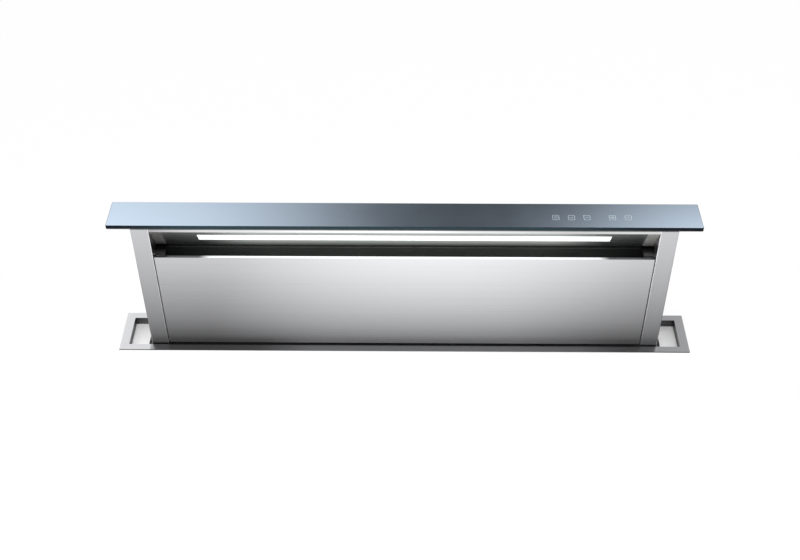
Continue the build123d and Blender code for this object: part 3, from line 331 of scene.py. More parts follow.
def fold_glow_painted_steel(name, colour, roughness, glow):
    """The front panel: a painted glow of the lamp's light along its top fold with painted shade on the
    fold's ends, and painted shade towards its foot.
    """
    # painted shade: the colour of the fold's ends beyond the lamp
    painted_shade_colour = (0.05, 0.05, 0.05, 1)
    sheet = BrushedSheet(name, roughness)
    foot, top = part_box("front_panel")[0].z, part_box("front_panel")[1].z
    lamp_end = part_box("lamp_diffuser")[1].x
    x, z = sheet.at("X"), sheet.at("Z")
    along = sheet.ramp(sheet.size_of(x), lamp_end, lamp_end - 20 * MM)
    high = sheet.ramp(z, top - 2 * MM, top - 1 * MM)
    fold = sheet.math("MULTIPLY", high, sheet.less(upright_faces(sheet)))
    # painted glow of the lamp's light along the fold, as long as the lamp
    painted_lamp_glow = sheet.math("MULTIPLY", along, fold)
    fold_end_shade = sheet.math("MULTIPLY", sheet.math("SUBTRACT", fold, painted_lamp_glow), 0.7)
    # painted shade towards the foot and painted light towards the top, strongest towards the ends
    middle = sheet.ramp(z, foot, top, 1.0, 1.05)
    outer = sheet.math(
        "MULTIPLY", sheet.ramp(z, foot + 10 * MM, foot + 70 * MM, 0.64, 0.84),
        sheet.ramp(z, foot + 70 * MM, top, 1.0, 1.27),
    )
    aside = sheet.size_of(sheet.math("SUBTRACT", x, 20 * MM))
    outward = sheet.ramp(aside, 150 * MM, 450 * MM, smooth=True)
    swing = sheet.math("MULTIPLY", sheet.math("SUBTRACT", outer, middle), outward)
    plain = sheet.times(sheet.steel(colour), sheet.math("ADD", middle, swing))
    return sheet.done(sheet.mix(fold_end_shade, plain, painted_shade_colour), more={
        "Emission Color": (*glow, 1),
        "Emission Strength": sheet.math("MULTIPLY", painted_lamp_glow, 0.5),
    })


def leaf_steel(name, shelf_shade_colour, leaf_painted_colour, roughness):
    """The ledges: painted shade on the shelves in the slot, darker towards the back, and a painted light
    on the leaves above them, dimmer on the left.
    """
    sheet = BrushedSheet(name, roughness)
    fascia_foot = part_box("fascia")[0].z
    is_leaf = sheet.less(sheet.ramp(sheet.at("Z"), fascia_foot + 6 * MM, fascia_foot + 3 * MM))
    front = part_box("intake_ledges")[0].y
    # painted shade: the shelves darker towards the back of the slot
    dark = sheet.times(sheet.steel(shelf_shade_colour), sheet.ramp(sheet.at("Y"), front + 22 * MM, front, 0.12, 1.0))
    # painted light on the leaves, dimmer on the left
    pale = sheet.times(sheet.steel(leaf_painted_colour), sheet.ramp(sheet.at("X"), -100 * MM, 100 * MM, 0.45, 1.0))
    return sheet.done(sheet.mix(is_leaf, dark, pale), sheet.less(sheet.math("MULTIPLY", is_leaf, 0.5)))


def lip_steel(name, colour, roughness):
    """The head pan: a painted reflection of the light ahead along its lip, most of all left of the
    middle.
    """
    sheet = BrushedSheet(name, roughness)
    x = sheet.at("X")
    # painted reflection: the lip lighter and darker along its length
    light = sheet.product(
        sheet.ramp(x, -500 * MM, -380 * MM, 0.55, 1.09), sheet.ramp(x, 20 * MM, 130 * MM, 1.0, 0.76),
        sheet.ramp(x, 200 * MM, 300 * MM, 1.0, 0.90), sheet.ramp(x, 340 * MM, 440 * MM, 1.0, 1.3),
    )
    return sheet.done(sheet.times(sheet.steel(colour, 0.97, 1.02), light))


def lamp_glow_painted_steel(name, colour, roughness, glow):
    """The fascia: brushed steel with a painted glow of the lamp's light along its window and a little
    beside it.
    """
    sheet = BrushedSheet(name, roughness)
    low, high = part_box("lamp_diffuser")
    aside, z = sheet.size_of(sheet.at("X")), sheet.at("Z")
    beside = sheet.math(
        "MULTIPLY", sheet.ramp(aside, high.x + 85 * MM, high.x - 10 * MM, 0.02, 0.23),
        sheet.ramp(z, low.z - 6 * MM, high.z, 0.3, 1.0),
    )
    along = sheet.ramp(aside, high.x + 15 * MM, high.x - 125 * MM, smooth=True)
    painted_lamp_glow = sheet.product(
        sheet.math("MAXIMUM", along, beside), sheet.ramp(z, low.z - 6 * MM, high.z, 0.56, 1.0),
        sheet.ramp(sheet.at("Y"), high.y + 12 * MM, high.y),
        sheet.ramp(z, low.z + 4 * MM, low.z - 2 * MM, 1.0, 1.65),
    )
    # painted glow: emission where the lamp's light falls on the steel
    return sheet.done(sheet.steel(colour), more={
        "Emission Color": (*glow, 1),
        "Emission Strength": sheet.math("MULTIPLY", painted_lamp_glow, 0.315),
    })


def sheet_zinc(name, colour):
    """Galvanised sheet: dull zinc with a faint spangle."""
    tree = Finish(name)
    coords = tree.place((1, 1, 1))
    cells = tree.add("TexVoronoi", {"Vector": coords, "Scale": 190.0, "Randomness": 1.0})
    shade = tree.add("SeparateColor", {"Color": cells.outputs["Color"]}).outputs[0]
    cloud = tree.noise(coords, 14.0, detail=5.0)
    tone = tree.math("ADD", tree.math("MULTIPLY", shade, 0.6), tree.math("MULTIPLY", cloud, 0.4))
    return tree.principled({
        "Base Color": tree.tint(tone, colour, 0.93, 1.05),
        "Metallic": 1.0,
        "Roughness": tree.spread(shade, 0.38, 0.5),
        "Normal": tree.bump(cloud, 0.05, 0.001),
    })


def grained(name, colour, roughness, metallic=0.0, grain=400.0, depth=0.00012, swing=0.06):
    """A moulded, cast or painted surface: fine grain and a slight unevenness of tone."""
    tree = Finish(name)
    coords = tree.place((1, 1, 1))
    fine = tree.noise(coords, grain, detail=2.0)
    cloudy = tree.noise(coords, grain / 25, detail=4.0)
    return tree.principled({
        "Base Color": tree.tint(cloudy, colour, 1 - swing, 1 + swing),
        "Metallic": metallic,
        "Roughness": tree.spread(cloudy, roughness * 0.88, min(1.0, roughness * 1.12)),
        "Normal": tree.bump(fine, 0.25, depth),
    })


def slot_metal(name, colour, roughness):
    """Dull metal behind the slot, its dark tone partly the filters' own colour and partly painted shade
    of the slot; painted shade darkens its top rail towards the ends.
    """
    tree = Finish(name)
    cloudy = tree.noise(tree.place((1, 1, 1)), 16.0, detail=4.0)
    away = tree.ramp(tree.size_of(tree.at("X")), 270 * MM, 450 * MM, 0.0, 0.72)
    high = tree.ramp(tree.at("Z"), 190 * MM, 210 * MM)
    # painted shade on the top rail towards the ends
    painted_rail_shade = tree.less(tree.math("MULTIPLY", away, high))
    return tree.principled({
        "Base Color": tree.times(tree.tint(cloudy, colour, 0.95, 1.05), painted_rail_shade),
        "Metallic": 0.8,
        "Roughness": tree.spread(cloudy, roughness * 0.88, roughness * 1.12),
    })


def turned(name, colour, roughness, pitch):
    """Metal turned or ground on a lathe: fine rings along its upright axis."""
    tree = Finish(name)
    rings = tree.noise(tree.place((2, 2, 1 / pitch)), 1.0, detail=2.0)
    return tree.principled({
        "Base Color": tree.tint(rings, colour, 0.92, 1.05),
        "Metallic": 1.0,
        "Roughness": tree.spread(rings, roughness * 0.7, roughness * 1.3),
        "Normal": tree.bump(rings, 0.1, 0.0001),
    })


def silvered_glass(name, colour):
    """Glass over a silvered, lightly tinted back, polished flat, with a painted reflection: darker to the
    right, and lighter towards the front, most of all on the right.
    """
    tree = Finish(name)
    haze = tree.noise(tree.place((1, 1, 1)), 9.0, detail=3.0)
    low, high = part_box("glass_top")
    x = tree.at("X")
    # painted reflection: lighter towards the front, darker to the right
    forward = tree.ramp(tree.at("Y"), high.y, low.y)
    right = tree.ramp(x, 100 * MM, 300 * MM, smooth=True)
    right_end = tree.ramp(x, 300 * MM, 500 * MM, 0.90, 0.98)
    painted_reflection_gain = tree.math("MULTIPLY", forward, tree.math("ADD", tree.math("MULTIPLY", right, 0.22), 0.09))
    back = tree.math("SUBTRACT", right_end, tree.math("MULTIPLY", right, 0.27))
    return tree.principled({
        "Base Color": tree.times(tree.tint(haze, colour, 0.98, 1.02), tree.math("ADD", back, painted_reflection_gain)),
        "Metallic": 1.0,
        "Roughness": tree.spread(haze, 0.16, 0.19),
        "Coat Weight": 0.6,
        "Coat Roughness": 0.02,
    })


def edge_glass(name, colour):
    """The ground and polished edge of thick glass, dark blue-green in its depth, with painted shade
    towards both ends.
    """
    tree = Finish(name)
    depth = tree.noise(tree.place((3, 40, 240)), 1.0, detail=2.0)
    x, painted_shade_colour = tree.at("X"), (0.003, 0.005, 0.010, 1)
    # painted shade: the edge darker towards both ends
    left = tree.ramp(x, -570 * MM, -400 * MM, smooth=True)
    right = tree.ramp(x, 520 * MM, 260 * MM, smooth=True)
    lit = tree.math("MULTIPLY", left, right)
    return tree.principled({
        "Base Color": tree.mix(lit, painted_shade_colour, tree.tint(depth, colour, 0.8, 1.2)),
        "Roughness": tree.spread(depth, 0.05, 0.1),
        "IOR": 1.52,
        "Specular IOR Level": 0.11,
    })


def backlit_ink(name, colour, light):
    """A printed sign: a pale metallic ink, faintly lit from behind."""
    tree = Finish(name)
    dots = tree.noise(tree.place((1, 1, 1)), 2500.0, detail=1.0)
    return tree.principled({
        "Base Color": tree.tint(dots, colour, 0.94, 1.04),
        "Metallic": 1.0,
        "Roughness": tree.spread(dots, 0.28, 0.36),
        "Emission Color": (*colour, 1),
        "Emission Strength": light,
    })


def lit_diffuser(name, colour):
    """The opal cover of the lamp, lit evenly, a little dimmer between the diodes."""
    tree = Finish(name)
    glow = tree.noise(tree.place((30, 4, 4)), 1.0, detail=1.0)
    return tree.principled({
        "Base Color": (0.8, 0.82, 0.8, 1),
        "Roughness": 0.4,
        "Emission Color": tree.tint(glow, colour, 0.97, 1.0),
        "Emission Strength": 0.92,
    })


def circuit(name, colour):
    """Green solder mask with faint copper tracks under it."""
    tree = Finish(name)
    coords = tree.place((1, 1, 1))
    brick = tree.add("TexBrick", {
        "Vector": coords, "Scale": 120.0, "Mortar Size": 0.03,
        "Color1": (*colour, 1), "Color2": (colour[0], colour[1] * 0.85, colour[2], 1),
        "Mortar": (0.16, 0.36, 0.14, 1),
    })
    fine = tree.noise(coords, 300.0)
    return tree.principled({
        "Base Color": brick.outputs[0],
        "Roughness": tree.spread(fine, 0.28, 0.38),
        "Normal": tree.bump(brick.outputs["Fac"], 0.2, 0.0001),
    })


def make_finishes(colours):
    """Every finish of the vent, by the name of the slot that it is for."""
    steel = tuple(colours.steel)
    lamp = tuple(colours.lamp)
    rough = colours.steel_roughness
    return {
        "brushed_stainless": brushed("brushed_stainless_along", steel, rough, "X"),
        "upright_stainless": edged_steel("brushed_stainless_upright", steel, rough),
        "panel_stainless": fold_glow_painted_steel("brushed_stainless_panel", steel, rough, lamp),
        # painted shade on the shelves and painted light on the leaves
        "leaf_stainless": leaf_steel(
            "brushed_stainless_ledges", (0.42, 0.42, 0.42), (0.56, 0.55, 0.54), rough,
        ),
        "lip_stainless": lip_steel("brushed_stainless_lip", (0.90, 0.905, 0.91), rough),
        "trim_stainless": trim_steel("brushed_stainless_trim", steel, rough),
        # painted glow of the lamp's light on the fascia
        "painted_lamp_glow_stainless": lamp_glow_painted_steel(
            "brushed_stainless_painted_lamp_glow", steel, rough, (0.93, 1.0, 0.95),
        ),
        "galvanised_sheet": sheet_zinc("galvanised_sheet", tuple(colours.galvanised)),
        "zinc_fasteners": turned("zinc_fasteners", (0.72, 0.72, 0.70), 0.25, 0.0006),
        "hard_chrome": turned("hard_chrome", (0.78, 0.78, 0.80), 0.12, 0.0008),
        "rolled_screw_steel": turned("rolled_screw_steel", (0.45, 0.45, 0.46), 0.32, 0.0007),
        "cast_aluminium": grained("cast_aluminium", (0.60, 0.61, 0.62), 0.45, metallic=1.0, grain=900),
        # dark partly for the filters' own colour and partly as painted shade of the slot
        "filter_aluminium": slot_metal("filter_aluminium", (0.17, 0.19, 0.175), 0.42),
        "gearmotor_paint": grained("gearmotor_paint", (0.05, 0.05, 0.055), 0.4, grain=700),
        "brass_nuts": turned("brass_nuts", (0.72, 0.55, 0.25), 0.28, 0.0007),
        "white_nylon": grained("white_nylon", (0.86, 0.85, 0.80), 0.5, grain=500),
        "black_plastic": grained("black_plastic", (0.035, 0.035, 0.038), 0.45, grain=600),
        "grey_plastic": grained("grey_plastic", (0.42, 0.43, 0.44), 0.5, grain=700),
        "circuit_board": circuit("circuit_board", (0.05, 0.22, 0.10)),
        "black_rubber": grained("black_rubber", (0.03, 0.03, 0.03), 0.75, grain=900, depth=0.0003),
        "frosted_diffuser": lit_diffuser("lit_diffuser", lamp),
        "silvered_glass": silvered_glass("silvered_glass", tuple(colours.glass)),
        "glass_edge": edge_glass("glass_edge", tuple(colours.glass_edge)),
        "key_ink": backlit_ink("key_ink", tuple(colours.key_ink), 0.10),
        "indicator_red": backlit_ink("indicator_red", (0.72, 0.60, 0.68), 0.04),
        "ferrite": grained("ferrite", (0.08, 0.08, 0.09), 0.5, grain=900),
    }


FINISHES = {}
OWN_FINISH = {
    "tower_posts": "upright_stainless",
    "worktop_frame": "trim_stainless",
    "fascia": "painted_lamp_glow_stainless",
    "front_panel": "panel_stainless",
    "intake_ledges": "leaf_stainless",
    "filter_latches": "filter_aluminium",
    "filter_rails": "filter_aluminium",
    "head_pan": "lip_stainless",
    "glass_top": "silvered_glass",
}


def finish(name):
    """One of the vent's finishes by its name; all of them are made at the first call."""
    if not FINISHES:
        FINISHES.update(make_finishes(bpy.context.scene.vent_finishes))
    return FINISHES[name]


# ---------------------------------------------------------------- meshes


def new_mesh(name, vertices, faces, materials):
    """A new mesh object from plain lists."""
    mesh = bpy.data.meshes.new(name)
    mesh.from_pydata([tuple(v) for v in vertices], [], faces)
    for material in materials:
        mesh.materials.append(material)
    made = bpy.data.objects.new(name, mesh)
    bpy.context.scene.collection.objects.link(made)
    return made


def mesh_piece(name, vertices, faces, materials, body, indices=None, smooth=False):
    """A new piece of the vent, which rides on a body."""
    piece = new_mesh(name, vertices, faces, materials)
    mesh = piece.data
    if indices:
        mesh.polygons.foreach_set("material_index", indices)
    mesh.polygons.foreach_set("use_smooth", [smooth] * len(mesh.polygons))
    mesh.update()
    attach(piece, body)
    return piece


def rounded_outline(width, depth, radius, steps=6):
    """Points round a rectangle with rounded corners, centred on the origin."""
    points = []
    for i, (sx, sy) in enumerate(((1, 1), (-1, 1), (-1, -1), (1, -1))):
        centre_x = sx * (width / 2 - radius)
        centre_y = sy * (depth / 2 - radius)
        for k in range(steps + 1):
            angle = math.pi / 2 * (i + k / steps)
            points.append((centre_x + radius * math.cos(angle), centre_y + radius * math.sin(angle)))
    return points


def stacked(rings, closed=False):
    """Vertices and faces of a solid through rings of points, capped or else closed on itself."""
    count = len(rings[0])
    vertices = [point for ring in rings for point in ring]
    faces = [] if closed else [tuple(reversed(range(count)))]
    for level in range(len(rings) if closed else len(rings) - 1):
        low, high = level * count, (level + 1) % len(rings) * count
        for k in range(count):
            after = (k + 1) % count
            faces.append((low + k, low + after, high + after, high + k))
    if not closed:
        last = len(vertices)
        faces.append(tuple(range(last - count, last)))
    return vertices, faces


def tapered(width, depth, levels):
    """A block with rounded corners, from (height, inset, corner radius) levels, bottom to top."""
    rings = []
    for height, inset, radius in levels:
        outline = rounded_outline(width - 2 * inset, depth - 2 * inset, radius)
        rings.append([(x, y, height) for x, y in outline])
    return stacked(rings)


# ---------------------------------------------------------------- the glass and its keys

KEY_X = (290.7 * MM, 320.7 * MM, 350.6 * MM, 399.1 * MM, 429.4 * MM)
KEY_Y = -6.0 * MM
KEY_CORNER = 1.2 * MM
SIGN_SIZE = 6.0 * MM
DOT_X = (371.0 * MM, 379.0 * MM, 386.0 * MM)
DOT_RADIUS = 0.9 * MM
PRINT_THICKNESS = 0.05 * MM


def make_glass(sizes):
    """The glass slab: polished bevels, dark edges and a silvered face."""
    low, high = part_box("glass_top")
    top = high.z - PRINT_THICKNESS
    bevel, corner = sizes.glass_bevel, 2 * MM
    levels = (
        (low.z, bevel / 2, corner), (low.z + bevel / 2, 0.0, corner), (top - bevel, 0.0, corner),
        (top - bevel * 0.3, bevel * 0.3, corner), (top, bevel, corner),
    )
    slab = Shape()
    slab.add(tapered(high.x - low.x, high.y - low.y, levels), standing(low, high))
    indices = [1] * len(slab.faces)
    indices[-1] = 0
    materials = [finish("silvered_glass"), finish("glass_edge")]
    piece = mesh_piece(
        "glass_slab", slab.vertices, slab.faces, materials, "tower", indices,
    )
    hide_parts("glass_top")


def ribbon(points, stroke, closed=False):
    """A flat line of even width along a path, as quads with mitred corners."""
    count = len(points)
    left, right = [], []
    for i, point in enumerate(points):
        before = points[i - 1] if i or closed else point
        after = points[(i + 1) % count] if i < count - 1 or closed else point
        first = (Vector(point) - Vector(before)).normalized() if before != point else None
        second = (Vector(after) - Vector(point)).normalized() if after != point else None
        along = ((first or second) + (second or first)).normalized()
        across = Vector((-along.y, along.x))
        side = Vector((-(first or second).y, (first or second).x))
        reach = stroke / 2 / max(0.5, across.dot(side))
        left.append(tuple(Vector(point) + across * reach))
        right.append(tuple(Vector(point) - across * reach))
    quads = []
    for i in range(count if closed else count - 1):
        k = (i + 1) % count
        quads.append((left[i], right[i], right[k], left[k]))
    return quads


def arc(radius, start, end, steps=14):
    """Points along an arc about the origin, between two angles in degrees."""
    angles = [math.radians(start + (end - start) * i / steps) for i in range(steps + 1)]
    return [(radius * math.cos(a), radius * math.sin(a)) for a in angles]


def key_signs(s):
    """Five plain signs of one size, one for each key: lamp, slower, faster, timer and lift."""
    return [
        [(arc(0.42 * s, -50, 230), False), ([(-0.2 * s, -0.62 * s), (0.2 * s, -0.62 * s)], False)],
        [([(-0.5 * s, 0.2 * s), (0, -0.35 * s), (0.5 * s, 0.2 * s)], False)],
        [([(-0.5 * s, -0.2 * s), (0, 0.35 * s), (0.5 * s, -0.2 * s)], False)],
        [(arc(0.5 * s, 0, 350), True), ([(0, 0.3 * s), (0, 0), (0.25 * s, 0)], False)],
        [([(-0.45 * s, 0), (0.45 * s, 0)], False), ([(0, -0.45 * s), (0, 0.45 * s)], False)],
    ]


def make_keys(sizes):
    """The printed key outlines, their signs and three small indicator dots."""
    outline = rounded_outline(sizes.key_width, sizes.key_depth, KEY_CORNER, steps=3)
    quads = []
    for key_x, sign in zip(KEY_X, key_signs(SIGN_SIZE)):
        for points, closed in [(outline, True)] + sign:
            if closed and points[0] == points[-1]:
                points = points[:-1]
            for quad in ribbon(points, sizes.key_stroke, closed):
                quads.append([(key_x + x, KEY_Y + y) for x, y in quad])
    print_flat("touch_key_print", quads, finish("key_ink"))
    rim = arc(DOT_RADIUS, 0, 360, steps=12)
    dots = []
    for dot_x in DOT_X:
        for first, second in zip(rim, rim[1:]):
            dots.append([(dot_x + x, KEY_Y + y) for x, y in ((0.0, 0.0), first, second)])
    print_flat("indicator_dots", dots, finish("indicator_red"))


def print_flat(name, polygons, material):
    """A print on the glass with a little thickness, from flat polygons seen from above."""
    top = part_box("glass_top")[1].z
    bottom = top - PRINT_THICKNESS
    vertices, faces = [], []
    for corners in polygons:
        base, count = len(vertices), len(corners)
        pairs = zip(corners, corners[1:] + corners[:1])
        if sum(a[0] * b[1] - b[0] * a[1] for a, b in pairs) < 0:
            corners = corners[::-1]
        vertices += [(x, y, bottom) for x, y in corners] + [(x, y, top) for x, y in corners]
        faces.append(tuple(range(base + count, base + 2 * count)))
        faces.append(tuple(reversed(range(base, base + count))))
        for i in range(count):
            k = (i + 1) % count
            faces.append((base + i, base + k, base + count + k, base + count + i))
    return mesh_piece(name, vertices, faces, [material], "tower")


# ---------------------------------------------------------------- shapes


class Shape:
    """The vertices and faces of one piece, gathered from several closed solids."""

    def __init__(self):
        self.vertices = []
        self.faces = []

    def add(self, solid, place=Matrix.Identity(4)):
        vertices, faces = solid
        base = len(self.vertices)
        self.vertices += [place @ Vector(v) for v in vertices]
        self.faces += [tuple(base + k for k in face) for face in faces]

    def piece(self, name, finish_name, body):
        """One mesh object, shaded smooth but for its sharp edges, in the named finish."""
        material = finish(finish_name)
        made = mesh_piece(name, self.vertices, self.faces, [material], body, smooth=True)
        made.data.set_sharp_from_angle(angle=math.radians(22))
        return made


def islands(node):
    """The lowest and highest corners of each separate solid of a node."""
    mesh = bmesh.new()
    mesh.from_mesh(frame["nodes"][node].data)
    bmesh.ops.remove_doubles(mesh, verts=mesh.verts, dist=MM / 1000)
    boxes, seen = [], set()
    for start in mesh.verts:
        if start in seen:
            continue
        seen.add(start)
        waiting, found = [start], []
        while waiting:
            vertex = waiting.pop()
            found.append(vertex.co.copy())
            for edge in vertex.link_edges:
                other = edge.other_vert(vertex)
                if other not in seen:
                    seen.add(other)
                    waiting.append(other)
        low = Vector([min(point[axis] for point in found) for axis in range(3)])
        high = Vector([max(point[axis] for point in found) for axis in range(3)])
        boxes.append((low, high))
    mesh.free()
    return boxes


FACINGS = {
    "front": ((1, 0, 0), (0, 0, 1), (0, -1, 0)),
    "rear": ((-1, 0, 0), (0, 0, 1), (0, 1, 0)),
    "right": ((0, 1, 0), (0, 0, 1), (1, 0, 0)),
    "left": ((0, -1, 0), (0, 0, 1), (-1, 0, 0)),
    "up": ((1, 0, 0), (0, 1, 0), (0, 0, 1)),
    "down": ((1, 0, 0), (0, -1, 0), (0, 0, -1)),
}


def facing(side, place=(0, 0, 0)):
    """The frame of a face that looks one way: across, up the face, and out of it."""
    turn = Matrix(FACINGS[side]).transposed().to_4x4()
    return Matrix.Translation(place) @ turn


def standing(low, high):
    """The frame of what stands upright in the middle of a box."""
    return Matrix.Translation(((low.x + high.x) / 2, (low.y + high.y) / 2, 0))


def ring(radius, height, count=24, start=0.0):
    """A level circle of points."""
    angles = [start + 2 * math.pi * k / count for k in range(count)]
    return [(radius * math.cos(a), radius * math.sin(a), height) for a in angles]


def turned_solid(profile, count=24):
    """A solid of revolution about Z from (radius, height) pairs, bottom to top."""
    return stacked([ring(radius, height, count) for radius, height in profile])


def hex_nut(across, height, bore=0.0, chamfer=0.12, count=24):
    """A six-sided nut with turned-down corners, standing on the local XY plane."""
    flat = across / 2
    corner = flat / math.cos(math.pi / 6)

    def outline(z, round_to):
        points = []
        for k in range(count):
            angle = 2 * math.pi * k / count
            inside = (angle + math.pi / 6) % (math.pi / 3) - math.pi / 6
            radius = min(flat / math.cos(inside), round_to)
            points.append((radius * math.cos(angle), radius * math.sin(angle), z))
        return points

    cut = (corner - flat) * 4 * chamfer
    rings = [
        outline(0, flat), outline(cut, corner), outline(height - cut, corner), outline(height, flat),
    ]
    if bore:
        rings += [ring(bore * 1.08, height, count), ring(bore, height - cut, count)]
    return stacked(rings)


def bead(points, width, height, closed=True, steps=9):
    """A half-round ridge pressed up from a sheet along a path on the local XY plane."""
    count = len(points)
    half = width / 2
    stations = []
    for i, point in enumerate(points):
        here = Vector(point)
        before = Vector(points[i - 1]) if i or closed else here
        after = Vector(points[(i + 1) % count]) if i < count - 1 or closed else here
        along = ((here - before).normalized() + (after - here).normalized()).normalized()
        stations.append((here, along, 1.0))
    if not closed:
        first, last = stations[0], stations[-1]
        quarter = [math.pi / 2 * k / steps for k in range(1, steps)]
        swell = [(half * math.cos(a), math.sin(a)) for a in quarter]
        head = [(first[0] - first[1] * reach, first[1], size) for reach, size in swell]
        tail = [(last[0] + last[1] * reach, last[1], size) for reach, size in reversed(swell)]
        stations = head + stations + tail
    rings = []
    for here, along, size in stations:
        across = Vector((-along.y, along.x))
        loop = []
        for k in range(steps + 1):
            angle = math.pi * k / steps
            spot = here + across * (half * size * math.cos(angle))
            loop.append((spot.x, spot.y, height * size * math.sin(angle)))
        rings.append(loop)
    return stacked(rings, closed)


def ridge(start, end, width, height):
    """A straight bead with round ends."""
    return bead([start, end], width, height, closed=False)


def hoop(centre, radius, width, height, count=32):
    """A round bead."""
    points = [(centre[0] + x, centre[1] + y) for x, y, _ in ring(radius, 0, count)]
    return bead(points, width, height)


def thread(radius, depth, pitch, starts, low, high, count=24):
    """A threaded rod about Z: ridges that climb by their pitch, between two heights."""
    lead = pitch * starts
    form = ((0.0, 1), (0.36, 1), (0.5, 0), (0.86, 0))
    first = math.floor(low / pitch) - starts - 1
    turns = math.ceil(high / pitch) + 1 - first
    levels = [(pitch * (first + k) + pitch * part, top) for k in range(turns) for part, top in form]
    rows = len(levels)
    shift = len(form) * starts
    vertices = []
    for i in range(count):
        angle = 2 * math.pi * i / count
        for height, top in levels:
            z = min(max(height + lead * i / count, low), high)
            size = radius - (0 if top else depth)
            vertices.append((size * math.cos(angle), size * math.sin(angle), z))
    faces = []
    for i in range(count):
        wrapped = i == count - 1
        for k in range(rows - 1):
            near, far = i * rows + k, ((i + 1) % count) * rows + k + (shift if wrapped else 0)
            if wrapped and k + 1 + shift >= rows:
                continue
            quad = (near, far, far + 1, near + 1)
            if len({round(vertices[corner][2], 7) for corner in quad}) > 1:
                faces.append(quad)
    return vertices, faces


# ---------------------------------------------------------------- screws and studs


def cross_head(sizes):
    """A pan-head screw pointing down Z, with a cross recess in its head and a plain tip."""
    radius, height = sizes.screw_head / 2, sizes.screw_head_height
    arm, half = radius * 0.55, radius * 0.13
    corner = math.atan2(half, arm)
    angles = []
    for quarter in range(4):
        for step in (0, corner, 0.75 * corner + math.pi / 16, math.pi / 4):
            angles.append(quarter * math.pi / 2 + step)
        for step in (0.75 * corner + math.pi / 16, corner):
            angles.append((quarter + 1) * math.pi / 2 - step)

    def reach(angle):
        inside = abs((angle + math.pi / 4) % (math.pi / 2) - math.pi / 4)
        return arm / math.cos(inside) if inside <= corner * 1.001 else half / math.sin(inside)

    def level(size, z):
        return [(size * math.cos(a), size * math.sin(a), z) for a in angles]

    def dome(size):
        return height * (0.62 + 0.38 * math.sqrt(max(0.0, 1 - (size / radius) ** 2)))

    shank = radius / 2
    rings = [
        level(shank * 0.2, -sizes.screw_reach), level(shank * 0.9, -sizes.screw_reach + shank),
        level(shank, -sizes.screw_reach + 1.6 * shank), level(shank, 0), level(radius, 0),
        level(radius, height * 0.6), level(radius * 0.93, dome(radius * 0.93)),
        level(radius * 0.75, dome(radius * 0.75)), level(radius * 0.6, dome(radius * 0.6)),
    ]
    rings.append([(reach(a) * math.cos(a), reach(a) * math.sin(a), dome(reach(a))) for a in angles])
    floor = height * 0.3
    rings.append([(reach(a) * 0.85 * math.cos(a), reach(a) * 0.85 * math.sin(a), floor) for a in angles])
    return stacked(rings)


def make_casing_screws(sizes):
    """Pan-head screws in place of the plain ones, each with its recess turned its own way."""
    turn = random.Random(7)
    screw = cross_head(sizes)
    sink = Matrix.Translation((0, 0, -sizes.screw_head_height))
    shape = Shape()
    for low, high in islands("casing_screws"):
        x, y, z = (low + high) / 2
        if high.z - low.z > high.y - low.y:
            face = facing("down", (x, y, low.z))
        elif y < 0:
            face = facing("front", (x, low.y, z))
        else:
            face = facing("rear", (x, high.y, z))
        shape.add(screw, face @ sink @ Matrix.Rotation(turn.uniform(0, math.pi / 2), 4, "Z"))
    piece = shape.piece("cross_head_screws", "zinc_fasteners", "casing")
    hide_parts("casing_screws")


def make_clamp_studs():
    """Threaded clamp screws with a nut above and below the arm and a pad at the top."""
    arm_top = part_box("worktop_clamps")[1].z
    arm_thickness, nut_height, nut_flats = 2.5 * MM, 5 * MM, 10 * MM
    shape, pads = Shape(), Shape()
    for low, high in islands("clamp_screws"):
        place = standing(low, high)
        top, pad = high.z, (high.x - low.x) / 2
        radius = pad * 0.375
        shape.add(thread(radius, 0.5 * MM, 1 * MM, 1, low.z, top - 2 * MM, 20), place)
        nut = hex_nut(nut_flats, nut_height, bore=radius * 1.02)
        for base in (arm_top, arm_top - arm_thickness - nut_height):
            turn = Matrix.Translation((0, 0, base)) @ Matrix.Rotation(0.4, 4, "Z")
            shape.add(nut, place @ turn)
        pads.add(turned_solid((
            (pad * 0.5, top - 3 * MM), (pad * 0.9, top - 3 * MM), (pad, top - 2.4 * MM),
            (pad, top - 0.6 * MM), (pad * 0.94, top), (pad * 0.4, top), (pad * 0.36, top - 0.4 * MM),
        ), 32), place)
    studs = shape.piece("clamp_studs", "zinc_fasteners", "casing")
    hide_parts("clamp_screws")
    pads.piece("clamp_pads", "black_plastic", "casing")


def make_lead_screws():
    """Two-start screws with their threads cut, and smooth ends for the bearings."""
    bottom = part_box("left_lead_screw")[0].z
    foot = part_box("left_pulley")[1].z + 4 * MM
    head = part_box("top_blocks")[0].z - 2 * MM
    journal = 5 * MM
    for side in ("left", "right"):
        low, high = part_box(f"{side}_lead_screw")
        radius = (high.x - low.x) / 2
        solids = [
            thread(radius, 1.3 * MM, 5 * MM, 2, foot, head),
            turned_solid((
                (radius * 0.9, head), (radius, head + 1 * MM),
                (radius, high.z - 1 * MM), (radius * 0.9, high.z),
            )),
            turned_solid((
                (radius * 0.9, bottom), (radius, bottom + 1 * MM),
                (radius, foot), (radius * 0.85, foot + 0.5 * MM),
            )),
        ]
        if low.z < bottom - MM:
            solids.append(turned_solid((
                (journal * 0.85, low.z), (journal, low.z + 1 * MM),
                (journal, bottom), (journal * 0.9, bottom),
            )))
        shape = Shape()
        for solid in solids:
            shape.add(solid, standing(low, high))
        piece = shape.piece(f"{side}_threaded_screw", "rolled_screw_steel", f"{side}_screw")
        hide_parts(f"{side}_lead_screw")


# ---------------------------------------------------------------- pressed sheets


